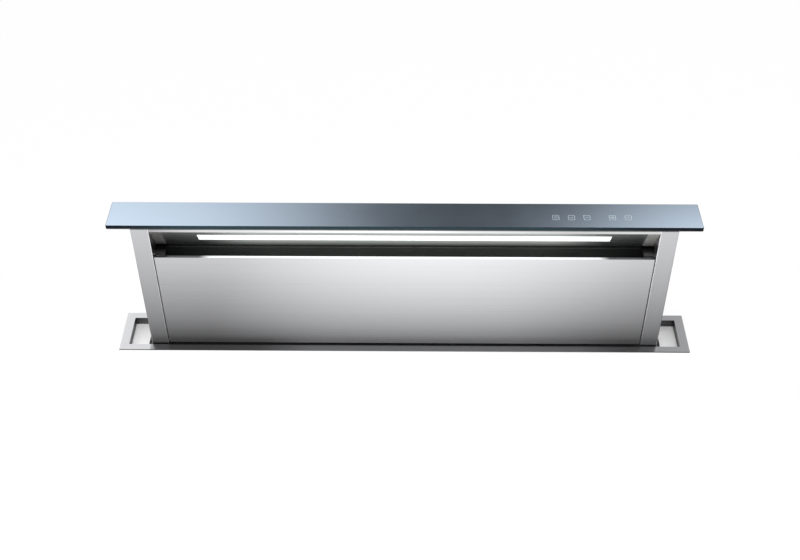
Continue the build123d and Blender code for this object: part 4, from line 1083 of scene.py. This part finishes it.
def free_spans(x, low, high, blocked, margin):
    """The stretches of an upright line that boxes on the sheet leave free."""
    spans = [(low, high)]
    for near, far in blocked:
        if not near.x - margin < x < far.x + margin:
            continue
        cut = []
        for a, b in spans:
            cut += [(a, min(b, near.z - margin)), (max(a, far.z + margin), b)]
        spans = [(a, b) for a, b in cut if b - a > 4 * margin]
    return spans


def make_casing_beads(sizes):
    """Upright beads pressed into the long casing sheets, clear of what is screwed to them."""
    hem, margin = 45 * MM, 2 * sizes.bead_width
    fitted = [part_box(node) for node in ("blower_box", "duct_spigot", "control_box")]
    shape = Shape()
    for node, side, sign, blocked in (
        ("casing_front", "front", 1, fitted), ("casing_rear", "rear", -1, []),
    ):
        low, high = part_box(node)
        face = facing(side, (0, low.y if side == "front" else high.y, 0))
        columns = round((high.x - low.x) / sizes.bead_pitch)
        for i in range(1, columns):
            x = low.x + (high.x - low.x) * i / columns
            for bottom, top in free_spans(x, low.z + hem, high.z - hem, blocked, margin):
                line = (sign * x, bottom), (sign * x, top)
                shape.add(ridge(*line, sizes.bead_width, sizes.bead_height), face)
    shape.piece("casing_beads", "galvanised_sheet", "casing")


def make_blower_beads():
    """Rings and a frame pressed into the blower's cover, and beads round its box."""
    low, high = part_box("blower_cover")
    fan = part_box("fan_motor")
    fan_centre = ((fan[0].x + fan[1].x) / 2, (fan[0].z + fan[1].z) / 2)
    width, cover_rise, wall_rise = 8 * MM, 1.9 * MM, 2 * MM
    inset, corner = 26 * MM, 24 * MM
    first_row, row_pitch, columns = 40 * MM, 35 * MM, 6
    shape = Shape()
    face = facing("front", (0, low.y, 0))
    for radius in (78 * MM, 100 * MM):
        shape.add(hoop(fan_centre, radius, width, cover_rise, 64), face)
    outline = rounded_outline(high.x - low.x - 2 * inset, high.z - low.z - 2 * inset, corner)
    path = [((low.x + high.x) / 2 + x, (low.z + high.z) / 2 + z) for x, z in outline]
    shape.add(bead(path, width, cover_rise), face)
    near, far = low.y + 10 * MM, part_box("blower_box")[1].y - 14 * MM
    for side, wall, sign, rows in (("right", high.x, 1, 8), ("left", low.x, -1, 3)):
        for i in range(rows):
            z = low.z + first_row + row_pitch * i
            line = (sign * near, z), (sign * far, z)
            shape.add(ridge(*line, width, wall_rise), facing(side, (wall, 0, 0)))
    for side, wall, sign in (("up", high.z, 1), ("down", low.z, -1)):
        for i in range(1, columns):
            x = low.x + (high.x - low.x) * i / columns
            line = (x, sign * near), (x, sign * far)
            shape.add(ridge(*line, width, wall_rise), facing(side, (0, 0, wall)))
    shape.piece("blower_box_beads", "galvanised_sheet", "casing")


def make_leg_beads():
    """Two stiffening beads down each leg and a raised rim round each bolt hole."""
    low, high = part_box("support_legs")
    sheet, bolt_x, bolt_y = 2.5 * MM, 20 * MM, 22 * MM
    shape = Shape()
    for side, x, sign in (("right", high.x, 1), ("left", low.x, -1)):
        for top_y, foot_y in ((-20 * MM, -120 * MM), (25 * MM, 25 * MM)):
            line = (sign * foot_y, low.z + 16 * MM), (sign * top_y, high.z - 14 * MM)
            shape.add(ridge(*line, 9 * MM, 2 * MM), facing(side, (x, 0, 0)))
        for y in (low.y + bolt_y, high.y - bolt_y):
            rim = hoop((x - sign * bolt_x, y), 8 * MM, 3 * MM, 0.8 * MM)
            shape.add(rim, facing("up", (0, 0, low.z + sheet)))
    shape.piece("leg_beads", "galvanised_sheet", "casing")


def make_spigot_trim():
    """The rolled mouth of the duct spigot and the rivets round its flange."""
    low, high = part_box("duct_spigot")
    mouth_radius, rivet_circle, rivets = 73.9 * MM, 77.9 * MM, 8
    out = facing("left", (0, (low.y + high.y) / 2, (low.z + high.z) / 2))
    shape = Shape()
    roll = hoop((0, 0), mouth_radius, 2.2 * MM, 1.6 * MM, 72)
    shape.add(roll, out @ Matrix.Translation((0, 0, -low.x - 0.2 * MM)))
    rivet = turned_solid((
        (2 * MM, 0), (2 * MM, 0.3 * MM), (1.5 * MM, 0.9 * MM), (0.6 * MM, 1.2 * MM),
    ), 16)
    for k in range(rivets):
        angle = 2 * math.pi * (k + 0.5) / rivets
        spot = (rivet_circle * math.cos(angle), rivet_circle * math.sin(angle), 1.5 * MM - high.x)
        shape.add(rivet, out @ Matrix.Translation(spot))
    shape.piece("spigot_trim", "galvanised_sheet", "casing")


def make_flap_beads():
    """Two bowed beads on each flap of the damper."""
    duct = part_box("duct_spigot")
    duct_y = (duct[0].y + duct[1].y) / 2
    hinge_gap = 9 * MM
    turns = [(-0.42 + 0.84 * k / 12) * math.pi for k in range(13)]
    for node in ("front_flap", "rear_flap"):
        low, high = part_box(node)
        x, y, z = (low + high) / 2
        sign, radius = -1 if y < duct_y else 1, (high.z - low.z) / 2
        shape = Shape()
        for size in (0.82, 0.5):
            path = []
            for turn in turns:
                aside = hinge_gap + (radius - hinge_gap) * size * math.cos(turn)
                path.append((-(duct_y + sign * aside), z + radius * size * math.sin(turn)))
            shape.add(bead(path, 4 * MM, 1.2 * MM, closed=False), facing("left", (x - 0.5 * MM, 0, 0)))
        shape.piece(f"{node}_beads", "galvanised_sheet", node)


# ---------------------------------------------------------------- control box


def make_control_cover():
    """A moulded cover with a raised middle, ribs on it and round-edged corners."""
    low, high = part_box("control_cover")
    width, height, thick = high.x - low.x, high.z - low.z, high.y - low.y
    face = facing("front", ((low.x + high.x) / 2, high.y, (low.z + high.z) / 2))
    small, large, raised = 3 * MM, 8 * MM, 2 * MM
    ribs, rib_pitch, rib_end = 7, 11 * MM, width / 2 - 34 * MM
    shape = Shape()
    shape.add(tapered(width, height, (
        (0, 0, small), (thick * 0.6, 0, small), (thick, 0.7 * MM, small), (thick, 15 * MM, large),
        (thick + 1.6 * MM, 17.5 * MM, large), (thick + raised, 18.5 * MM, large),
    )), face)
    for i in range(ribs):
        y = (i - (ribs - 1) / 2) * rib_pitch
        rib = ridge((-rib_end, y), (rib_end, y), 3 * MM, 1.2 * MM)
        shape.add(rib, face @ Matrix.Translation((0, 0, thick + raised)))
    piece = shape.piece("control_lid", "grey_plastic", "casing")
    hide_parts("control_cover")


def make_knockouts():
    """Round knockouts for cables in the sides and the floor of the control box."""
    low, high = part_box("control_box")
    middle_y = (low.y + high.y) / 2
    heights = [low.z + rise * MM for rise in (34, 80, 126)]
    rows = [("right", (high.x, 0, 0), (middle_y, z)) for z in heights]
    rows += [("left", (low.x, 0, 0), (-middle_y, z)) for z in heights]
    rows += [("down", (0, 0, low.z), (low.x + aside * MM, -middle_y)) for aside in (85, 125, 165)]
    shape = Shape()
    for side, wall, centre in rows:
        for radius in (10 * MM, 6.5 * MM):
            shape.add(hoop(centre, radius, 1.6 * MM, 0.7 * MM), facing(side, wall))
    shape.piece("control_knockouts", "grey_plastic", "casing")


def make_gland():
    """The mains gland: locknuts, a fine thread, a ribbed cap nut and its soft mouth."""
    low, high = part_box("mains_gland")
    place = standing(low, high)
    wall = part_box("control_box")[0].z
    wall_thickness, nut_height, flats, neck = 1.5 * MM, 5 * MM, 26 * MM, 10 * MM
    shape = Shape()
    shape.add(thread(neck, 0.6 * MM, 1.5 * MM, 1, low.z + 11 * MM, high.z - 0.5 * MM), place)
    nut = hex_nut(flats, nut_height, bore=neck)
    for base in (wall + wall_thickness, wall - nut_height):
        shape.add(nut, place @ Matrix.Translation((0, 0, base)))
    cap = ((0.62, 0.0), (0.80, 0.2), (0.92, 1.2), (0.98, 3.2), (1.0, 5.0), (1.0, 11.6), (0.95, 12.6))
    ribs, steps, rib_depth = 12, 6, 0.035
    rings = []
    for size, height in cap:
        loop = []
        for k in range(ribs * steps):
            angle = 2 * math.pi * k / (ribs * steps)
            cut = rib_depth if k % steps in (0, 1) and 1.0 < height < 12.0 else 0
            radius = flats / 2 * size * (1 - cut)
            loop.append((radius * math.cos(angle), radius * math.sin(angle), low.z + height * MM))
        rings.append(loop)
    shape.add(stacked(rings), place)
    piece = shape.piece("mains_gland_body", "black_plastic", "casing")
    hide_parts("mains_gland")
    bore, rim = 4 * MM, 8 * MM
    mouth = Shape()
    mouth.add(turned_solid((
        (bore, low.z + 10 * MM), (bore, low.z + 0.6 * MM), (bore * 1.15, low.z), (rim, low.z),
        (rim, low.z + 0.4 * MM),
    ), 32), place)
    mouth.piece("gland_insert", "black_rubber", "casing")


# ---------------------------------------------------------------- motor


def make_lift_motor():
    """The gear motor: a split gearbox with its bolts, and a can with an end bell and vents."""
    low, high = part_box("lift_motor")
    place = standing(low, high)
    side, corner, can = high.x - low.x, 5 * MM, 19 * MM
    split = high.z - 30 * MM
    steps = (
        (0.0, 1.4), (1.4, 0.0), (13.0, 0.0), (13.6, 0.6), (14.4, 0.6), (15.0, 0.0), (28.0, 0.0),
        (30.0, 0.0),
    )
    levels = [(split + rise * MM, inset * MM, corner) for rise, inset in steps]
    shape = Shape()
    shape.add(tapered(side, side, levels), place)
    rib = ridge((0, -5 * MM), (0, 5 * MM), 4 * MM, 1.2 * MM)
    for wall in ("front", "rear", "left", "right"):
        for x in (-12 * MM, 0, 12 * MM):
            spot = Matrix.Translation((x, split + 22 * MM, side / 2))
            shape.add(rib, place @ facing(wall) @ spot)
    shape.add(turned_solid((
        (can * 0.3, low.z), (can * 0.32, low.z + 0.4 * MM), (can * 0.36, low.z + 2 * MM),
        (can * 0.86, low.z + 2 * MM), (can * 0.97, low.z + 3.2 * MM), (can * 0.97, low.z + 12 * MM),
        (can, low.z + 12.6 * MM), (can, split - 3 * MM), (can * 0.94, split - 1.5 * MM),
        (can * 0.94, split + 0.5 * MM),
    ), 48), place)
    vent = ridge((0, -2.5 * MM), (0, 2.5 * MM), 4 * MM, 0.5 * MM)
    spot = Matrix.Translation((can * 0.97, 0, low.z + 7 * MM)) @ facing("right")
    for k in range(8):
        shape.add(vent, place @ Matrix.Rotation(math.pi / 4 * k, 4, "Z") @ spot)
    piece = shape.piece("lift_gear_motor", "gearmotor_paint", "casing")
    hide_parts("lift_motor")
    bolt_place = 19.5 * MM
    bolt = turned_solid((
        (3.4 * MM, -0.2 * MM), (3.4 * MM, 2.6 * MM), (3.0 * MM, 3.0 * MM), (1.7 * MM, 3.0 * MM),
        (1.6 * MM, 1.2 * MM),
    ), 24)
    bolts = Shape()
    for x, y in ((-1, -1), (-1, 1), (1, -1), (1, 1)):
        spot = Matrix.Translation((x * bolt_place, y * bolt_place, split))
        bolts.add(bolt, place @ spot @ facing("down"))
    bolts.piece("gearbox_bolts", "zinc_fasteners", "casing")


# ---------------------------------------------------------------- grease filters


def strand(points, half, thick, normal):
    """A flat strand of even width through points in space."""
    rings = []
    for i, here in enumerate(points):
        before, after = points[max(0, i - 1)], points[min(len(points) - 1, i + 1)]
        across = normal.cross((after - before).normalized()) * half
        lift = normal * thick / 2
        rings.append([
            here - across - lift, here + across - lift, here + across + lift, here - across + lift,
        ])
    return stacked(rings)


def filter_frame(width, height, sizes):
    """The rolled frame of one filter, about its middle, with a wider rail at its top."""
    half = sizes.filter_thickness / 2
    loops = (
        (0, 0, 1 * MM - half), (0, 0, half - 1 * MM), (1, 0, half), (-1, 1, half), (0, 1, half - 1 * MM),
        (0, 1, 1 * MM - half), (-1, 1, -half), (1, 0, -half),
    )
    rings = []
    for edge, inner, z in loops:
        side = inner * sizes.filter_rim + edge * MM
        top = inner * sizes.filter_rail + edge * MM
        outline = rounded_outline(width - 2 * side, height - side - top, 1.2 * MM, 2)
        rings.append([(x, y + (side - top) / 2, z) for x, y in outline])
    return stacked(rings, closed=True)


def filter_strands(width, height, sizes):
    """The waved strands of one filter's two layers of expanded mesh, about the filter's middle."""
    cell = sizes.mesh_cell
    inner_width = width - 2 * sizes.filter_rim
    inner_height = height - sizes.filter_rim - sizes.filter_rail
    drop = (sizes.filter_rim - sizes.filter_rail) / 2
    steps, rows = 2 * round(inner_width / cell), round(inner_height / (cell * 0.5))
    for layer, depth in ((0, sizes.filter_thickness * 0.275), (1, -sizes.filter_thickness * 0.275)):
        for row in range(rows + 1):
            points = []
            for k in range(steps + 1):
                swing = (1 if (k + row + layer) % 2 else -1) * cell * 0.25
                x = -inner_width / 2 + inner_width * k / steps
                y = -inner_height / 2 + inner_height * row / rows + swing * 0.9
                y = min(max(y, -inner_height / 2), inner_height / 2)
                points.append(Vector((x, y + drop, depth + swing * 0.12)))
            yield strand(points, 0.45 * MM, 0.7 * MM, Vector((0, 0, 1)))


def make_filters(sizes):
    """The grease filters: rolled frames that meet edge to edge, round layers of expanded mesh."""
    boxes = sorted(islands("grease_filters"), key=lambda box: box[0].x)
    for (_, left_end), (right_end, _) in zip(boxes, boxes[1:]):
        reach = (right_end.x - left_end.x) / 2 - 0.1 * MM
        left_end.x += reach
        right_end.x -= reach
    thick = sizes.filter_thickness
    frames, mesh = Shape(), Shape()
    for low, high in boxes:
        width, rise = high.x - low.x, high.z - low.z
        lean = math.atan2(high.y - low.y - thick, rise)
        height = (rise - thick * math.sin(lean)) / math.cos(lean)
        up = (0, math.sin(lean), math.cos(lean))
        out = (0, -math.cos(lean), math.sin(lean))
        turn = Matrix(((1, 0, 0), up, out)).transposed().to_4x4()
        place = Matrix.Translation((low + high) / 2) @ turn
        frames.add(filter_frame(width, height, sizes), place)
        for solid in filter_strands(width, height, sizes):
            mesh.add(solid, place)
    piece = frames.piece("filter_frames", "filter_aluminium", "tower")
    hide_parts("grease_filters")
    mesh.piece("filter_mesh", "filter_aluminium", "tower")


# ---------------------------------------------------------------- stage

CUTOUT = (1150 * MM, 92 * MM)
SLAB_X = 0.78
SLAB_FRONT = -0.70
SLAB_BACK = 0.30
FLOOR_Z = -0.70
DARK_STRETCH = (
    (0.24, 0.98), (0.33, 0.80), (0.38, 0.63), (0.43, 0.32), (0.475, 0.10), (0.53, 0.045),
    (0.585, 0.068), (0.63, 0.19), (0.68, 0.49), (0.74, 0.85),
)


def by_ray(tree, lit, seen, mirrored, share=1.0):
    """One shader that lights, one that the camera sees to a share, and one for reflections."""
    rays = tree.add("LightPath")
    direct = tree.math("ADD", rays.outputs["Is Camera Ray"], rays.outputs["Is Transmission Ray"], True)
    inputs = {0: tree.math("MULTIPLY", direct, share), 1: lit.outputs[0], 2: seen.outputs[0]}
    first = tree.add("MixShader", inputs)
    inputs = {0: rays.outputs["Is Glossy Ray"], 1: first.outputs[0], 2: mirrored.outputs[0]}
    return tree.add("MixShader", inputs)


def stage_white(name, kept_white, reflected):
    """White to the camera with a soft shadow kept, and its own brightness in reflections."""
    tree = Finish(name)
    diffuse = tree.add("BsdfDiffuse", {"Color": (0.88, 0.88, 0.88, 1)})
    plain = tree.add("Emission", {"Color": (1, 1, 1, 1), "Strength": 1.0})
    mirrored = tree.add("Emission", {"Color": (1, 1, 1, 1), "Strength": reflected(tree)})
    return tree.shown(by_ray(tree, diffuse, plain, mirrored, kept_white))


def worktop_painted_shade(tree):
    """Painted shade in reflections: dark beside the vent and brighter away from it, a little less at both
    ends.
    """
    inputs = {"Value": tree.size_of(tree.at("Y")), "From Min": 42 * MM, "From Max": 310 * MM}
    away = tree.add("MapRange", inputs, clamp=False).outputs[0]
    rise = tree.math("POWER", tree.math("MINIMUM", tree.math("MAXIMUM", away, 0.004), 1.5), 0.55)
    aside = tree.size_of(tree.math("SUBTRACT", tree.at("X"), 60 * MM))
    curve = tree.math("MULTIPLY", tree.math("POWER", aside, 2.0), 1.7)
    return tree.product(rise, tree.math("MAXIMUM", tree.less(curve), 0.64), 1.12)


def floor_glow(tree):
    """Evenly pale in reflections."""
    return 0.75


def stage_box(name, boxes, material):
    """A stage piece made of boxes that share faces."""
    vertices, faces = [], []
    for (x0, y0, z0), (x1, y1, z1) in boxes:
        base = len(vertices)
        vertices += [(x, y, z) for z in (z0, z1) for y in (y0, y1) for x in (x0, x1)]
        for quad in ((0, 2, 3, 1), (4, 5, 7, 6), (0, 1, 5, 4), (2, 6, 7, 3), (0, 4, 6, 2), (1, 3, 7, 5)):
            faces.append(tuple(base + k for k in quad))
    piece = new_mesh(name, vertices, faces, [material])


def make_worktop(studio, material):
    """A slab of worktop with the vent's cut-out in it."""
    half_x, half_y = CUTOUT[0] / 2, CUTOUT[1] / 2
    low = -studio.slab_thickness
    stage_box("stage_worktop", [
        ((-SLAB_X, SLAB_FRONT, low), (SLAB_X, -half_y, 0)),
        ((-SLAB_X, half_y, low), (SLAB_X, SLAB_BACK, 0)),
        ((-SLAB_X, -half_y, low), (-half_x, half_y, 0)),
        ((half_x, -half_y, low), (SLAB_X, half_y, 0)),
    ], material)


def make_floor(material):
    """A wide floor under the worktop."""
    reach, thickness = 6.0, 20 * MM
    stage_box("stage_floor", [((-reach, -reach, FLOOR_Z - thickness), (reach, reach, FLOOR_Z))], material)


def light_world():
    """White to the camera; in reflections a dark stretch stands high up behind the vent."""
    world = bpy.data.worlds.new("studio")
    bpy.context.scene.world = world
    world.use_nodes = True
    tree = Tree(world.node_tree)
    ways = tree.add("SeparateXYZ", {0: tree.add("TexCoord").outputs["Generated"]}).outputs
    band = tree.add("ValToRGB", {0: tree.math("ADD", ways["X"], 0.5)})
    ramp = band.color_ramp
    while len(ramp.elements) < len(DARK_STRETCH):
        ramp.elements.new(0.5)
    for element, (place, value) in zip(ramp.elements, DARK_STRETCH):
        element.position = place
        element.color = (value, value, value, 1)
    ramp.interpolation = "B_SPLINE"
    high = tree.ramp(ways["Z"], 0.2, 0.5, smooth=True)
    behind = tree.ramp(ways["Y"], -0.1, 0.35, smooth=True)
    ahead = tree.ramp(ways["Y"], 0.05, -0.3, 0.85, 0.17, smooth=True)
    mirrored = tree.mix(tree.math("MULTIPLY", high, behind), ahead, band.outputs[0])
    ambient = tree.add("Background", {"Color": (1, 1, 1, 1), "Strength": 0.55})
    plain = tree.add("Background", {"Color": (1, 1, 1, 1), "Strength": 1.0})
    shiny = tree.add("Background", {"Color": mirrored, "Strength": 1.15})
    tree.add("OutputWorld", {"Surface": by_ray(tree, ambient, plain, shiny).outputs[0]})


def make_lamps(studio):
    """Soft area lights: one overhead in front, and one from each side."""
    rows = (
        ("overhead_light", (0.0, -0.9, 2.2), (0, 0, 0.1), 2.4, studio.key_light),
        ("left_light", (-2.4, -0.6, 1.2), (0, 0, 0.0), 1.6, studio.key_light * 0.35),
        ("right_light", (2.4, 0.8, 1.2), (0, 0, 0.0), 1.6, studio.key_light * 0.3),
    )
    for name, place, target, size, power in rows:
        lamp = bpy.data.lights.new(name, "AREA")
        lamp.size = size
        lamp.energy = power
        holder = bpy.data.objects.new(name, lamp)
        holder.location = place
        aim = Vector(target) - Vector(place)
        holder.rotation_euler = aim.to_track_quat("-Z", "Y").to_euler()
        holder.visible_glossy = False
        bpy.context.scene.collection.objects.link(holder)


CAMERA_PLACE = (0.0125, -1.7861, 1.7805)
CAMERA_PITCH = 42.381
CAMERA_YAW = -0.670
CAMERA_ROLL = -0.185


def make_camera(studio):
    """The camera, at the photograph's place and angle."""
    pitch, yaw, roll = (math.radians(a) for a in (CAMERA_PITCH, CAMERA_YAW, CAMERA_ROLL))
    forward = Vector((
        math.sin(yaw) * math.cos(pitch), math.cos(yaw) * math.cos(pitch), -math.sin(pitch),
    ))
    level = Vector((math.cos(yaw), -math.sin(yaw), 0))
    upright = level.cross(forward)
    right = math.cos(roll) * level + math.sin(roll) * upright
    up = math.cos(roll) * upright - math.sin(roll) * level
    turn = Matrix((right, up, -forward)).transposed().to_4x4()
    lens = bpy.data.cameras.new("photo_camera")
    lens.lens = studio.lens
    lens.sensor_width = 36
    holder = bpy.data.objects.new("photo_camera", lens)
    holder.matrix_world = Matrix.Translation(CAMERA_PLACE) @ turn
    bpy.context.scene.collection.objects.link(holder)
    bpy.context.scene.camera = holder


# ---------------------------------------------------------------- operators


class VENT_OT_finishes(bpy.types.Operator):
    """Give every piece of the construction its finish"""

    bl_idname = "vent.finishes"
    bl_label = "Finishes"

    def execute(self, context):
        slots = {row["node"]: row["material_slot"] for row in frame["record"]["subparts"]}
        for name, node in frame["nodes"].items():
            material = finish(OWN_FINISH.get(name, slots[name]))
            for holder in node.material_slots:
                holder.material = material
        return {"FINISHED"}


class VENT_OT_glass(bpy.types.Operator):
    """Make the glass slab and the touch keys printed on it"""

    bl_idname = "vent.glass"
    bl_label = "Glass and keys"

    def execute(self, context):
        sizes = context.scene.vent_sizes
        make_glass(sizes)
        make_keys(sizes)
        return {"FINISHED"}


class VENT_OT_fasteners(bpy.types.Operator):
    """Make the casing's screws, the clamps' studs and the threads of the lead screws"""

    bl_idname = "vent.fasteners"
    bl_label = "Screws and studs"

    def execute(self, context):
        make_casing_screws(context.scene.vent_sizes)
        make_clamp_studs()
        make_lead_screws()
        return {"FINISHED"}


class VENT_OT_sheets(bpy.types.Operator):
    """Press the beads of the casing, the blower's box and the legs"""

    bl_idname = "vent.sheets"
    bl_label = "Pressed sheets"

    def execute(self, context):
        make_casing_beads(context.scene.vent_sizes)
        make_blower_beads()
        make_leg_beads()
        return {"FINISHED"}


class VENT_OT_spigot(bpy.types.Operator):
    """Roll the spigot's mouth, rivet its flange and bead its flaps"""

    bl_idname = "vent.spigot"
    bl_label = "Duct spigot"

    def execute(self, context):
        make_spigot_trim()
        make_flap_beads()
        return {"FINISHED"}


class VENT_OT_controls(bpy.types.Operator):
    """Make the control box's cover, its knockouts and the mains gland"""

    bl_idname = "vent.controls"
    bl_label = "Control box"

    def execute(self, context):
        make_control_cover()
        make_knockouts()
        make_gland()
        return {"FINISHED"}


class VENT_OT_motor(bpy.types.Operator):
    """Make the gear motor that lifts the tower"""

    bl_idname = "vent.motor"
    bl_label = "Lift motor"

    def execute(self, context):
        make_lift_motor()
        return {"FINISHED"}


class VENT_OT_filters(bpy.types.Operator):
    """Make the grease filters' frames and their mesh"""

    bl_idname = "vent.filters"
    bl_label = "Grease filters"

    def execute(self, context):
        make_filters(context.scene.vent_sizes)
        return {"FINISHED"}


class VENT_OT_stage(bpy.types.Operator):
    """Set up the white worktop, the floor, the light and the camera"""

    bl_idname = "vent.stage"
    bl_label = "Stage"

    def execute(self, context):
        studio = context.scene.vent_studio
        # the worktop's reflections carry painted shade beside the vent
        make_worktop(studio, stage_white("stage_worktop_white", 0.72, worktop_painted_shade))
        make_floor(stage_white("stage_floor_white", 0.97, floor_glow))
        light_world()
        make_lamps(studio)
        make_camera(studio)
        context.scene.view_settings.view_transform = "Standard"
        return {"FINISHED"}


# ---------------------------------------------------------------- the add-on


class VENT_PT_panel(bpy.types.Panel):
    """The vent's sizes, colours and steps"""

    bl_idname = "VENT_PT_panel"
    bl_label = "Downdraft vent"
    bl_space_type = "VIEW_3D"
    bl_region_type = "UI"
    bl_category = "Vent"

    def draw(self, context):
        scene = context.scene
        for group in (scene.vent_finishes, scene.vent_sizes, scene.vent_studio):
            box = self.layout.box()
            for name in group.bl_rna.properties.keys():
                if name not in ("rna_type", "name"):
                    box.prop(group, name)
        for step in STEPS:
            self.layout.operator(step)


STEPS = (
    "vent.stage", "vent.finishes", "vent.glass", "vent.filters", "vent.fasteners", "vent.sheets",
    "vent.spigot", "vent.controls", "vent.motor",
)
CLASSES = (
    VentFinishes, VentSizes, VentStudio, VENT_OT_finishes, VENT_OT_glass, VENT_OT_filters,
    VENT_OT_fasteners, VENT_OT_sheets, VENT_OT_spigot, VENT_OT_controls, VENT_OT_motor, VENT_OT_stage,
    VENT_PT_panel,
)


def register():
    for cls in CLASSES:
        bpy.utils.register_class(cls)
    bpy.types.Scene.vent_finishes = PointerProperty(type=VentFinishes)
    bpy.types.Scene.vent_sizes = PointerProperty(type=VentSizes)
    bpy.types.Scene.vent_studio = PointerProperty(type=VentStudio)


def unregister():
    del bpy.types.Scene.vent_studio
    del bpy.types.Scene.vent_sizes
    del bpy.types.Scene.vent_finishes
    for cls in reversed(CLASSES):
        bpy.utils.unregister_class(cls)


def main():
    register()
    for step in STEPS:
        group, name = step.split(".")
        getattr(getattr(bpy.ops, group), name)()


if __name__ == "__main__":
    main()
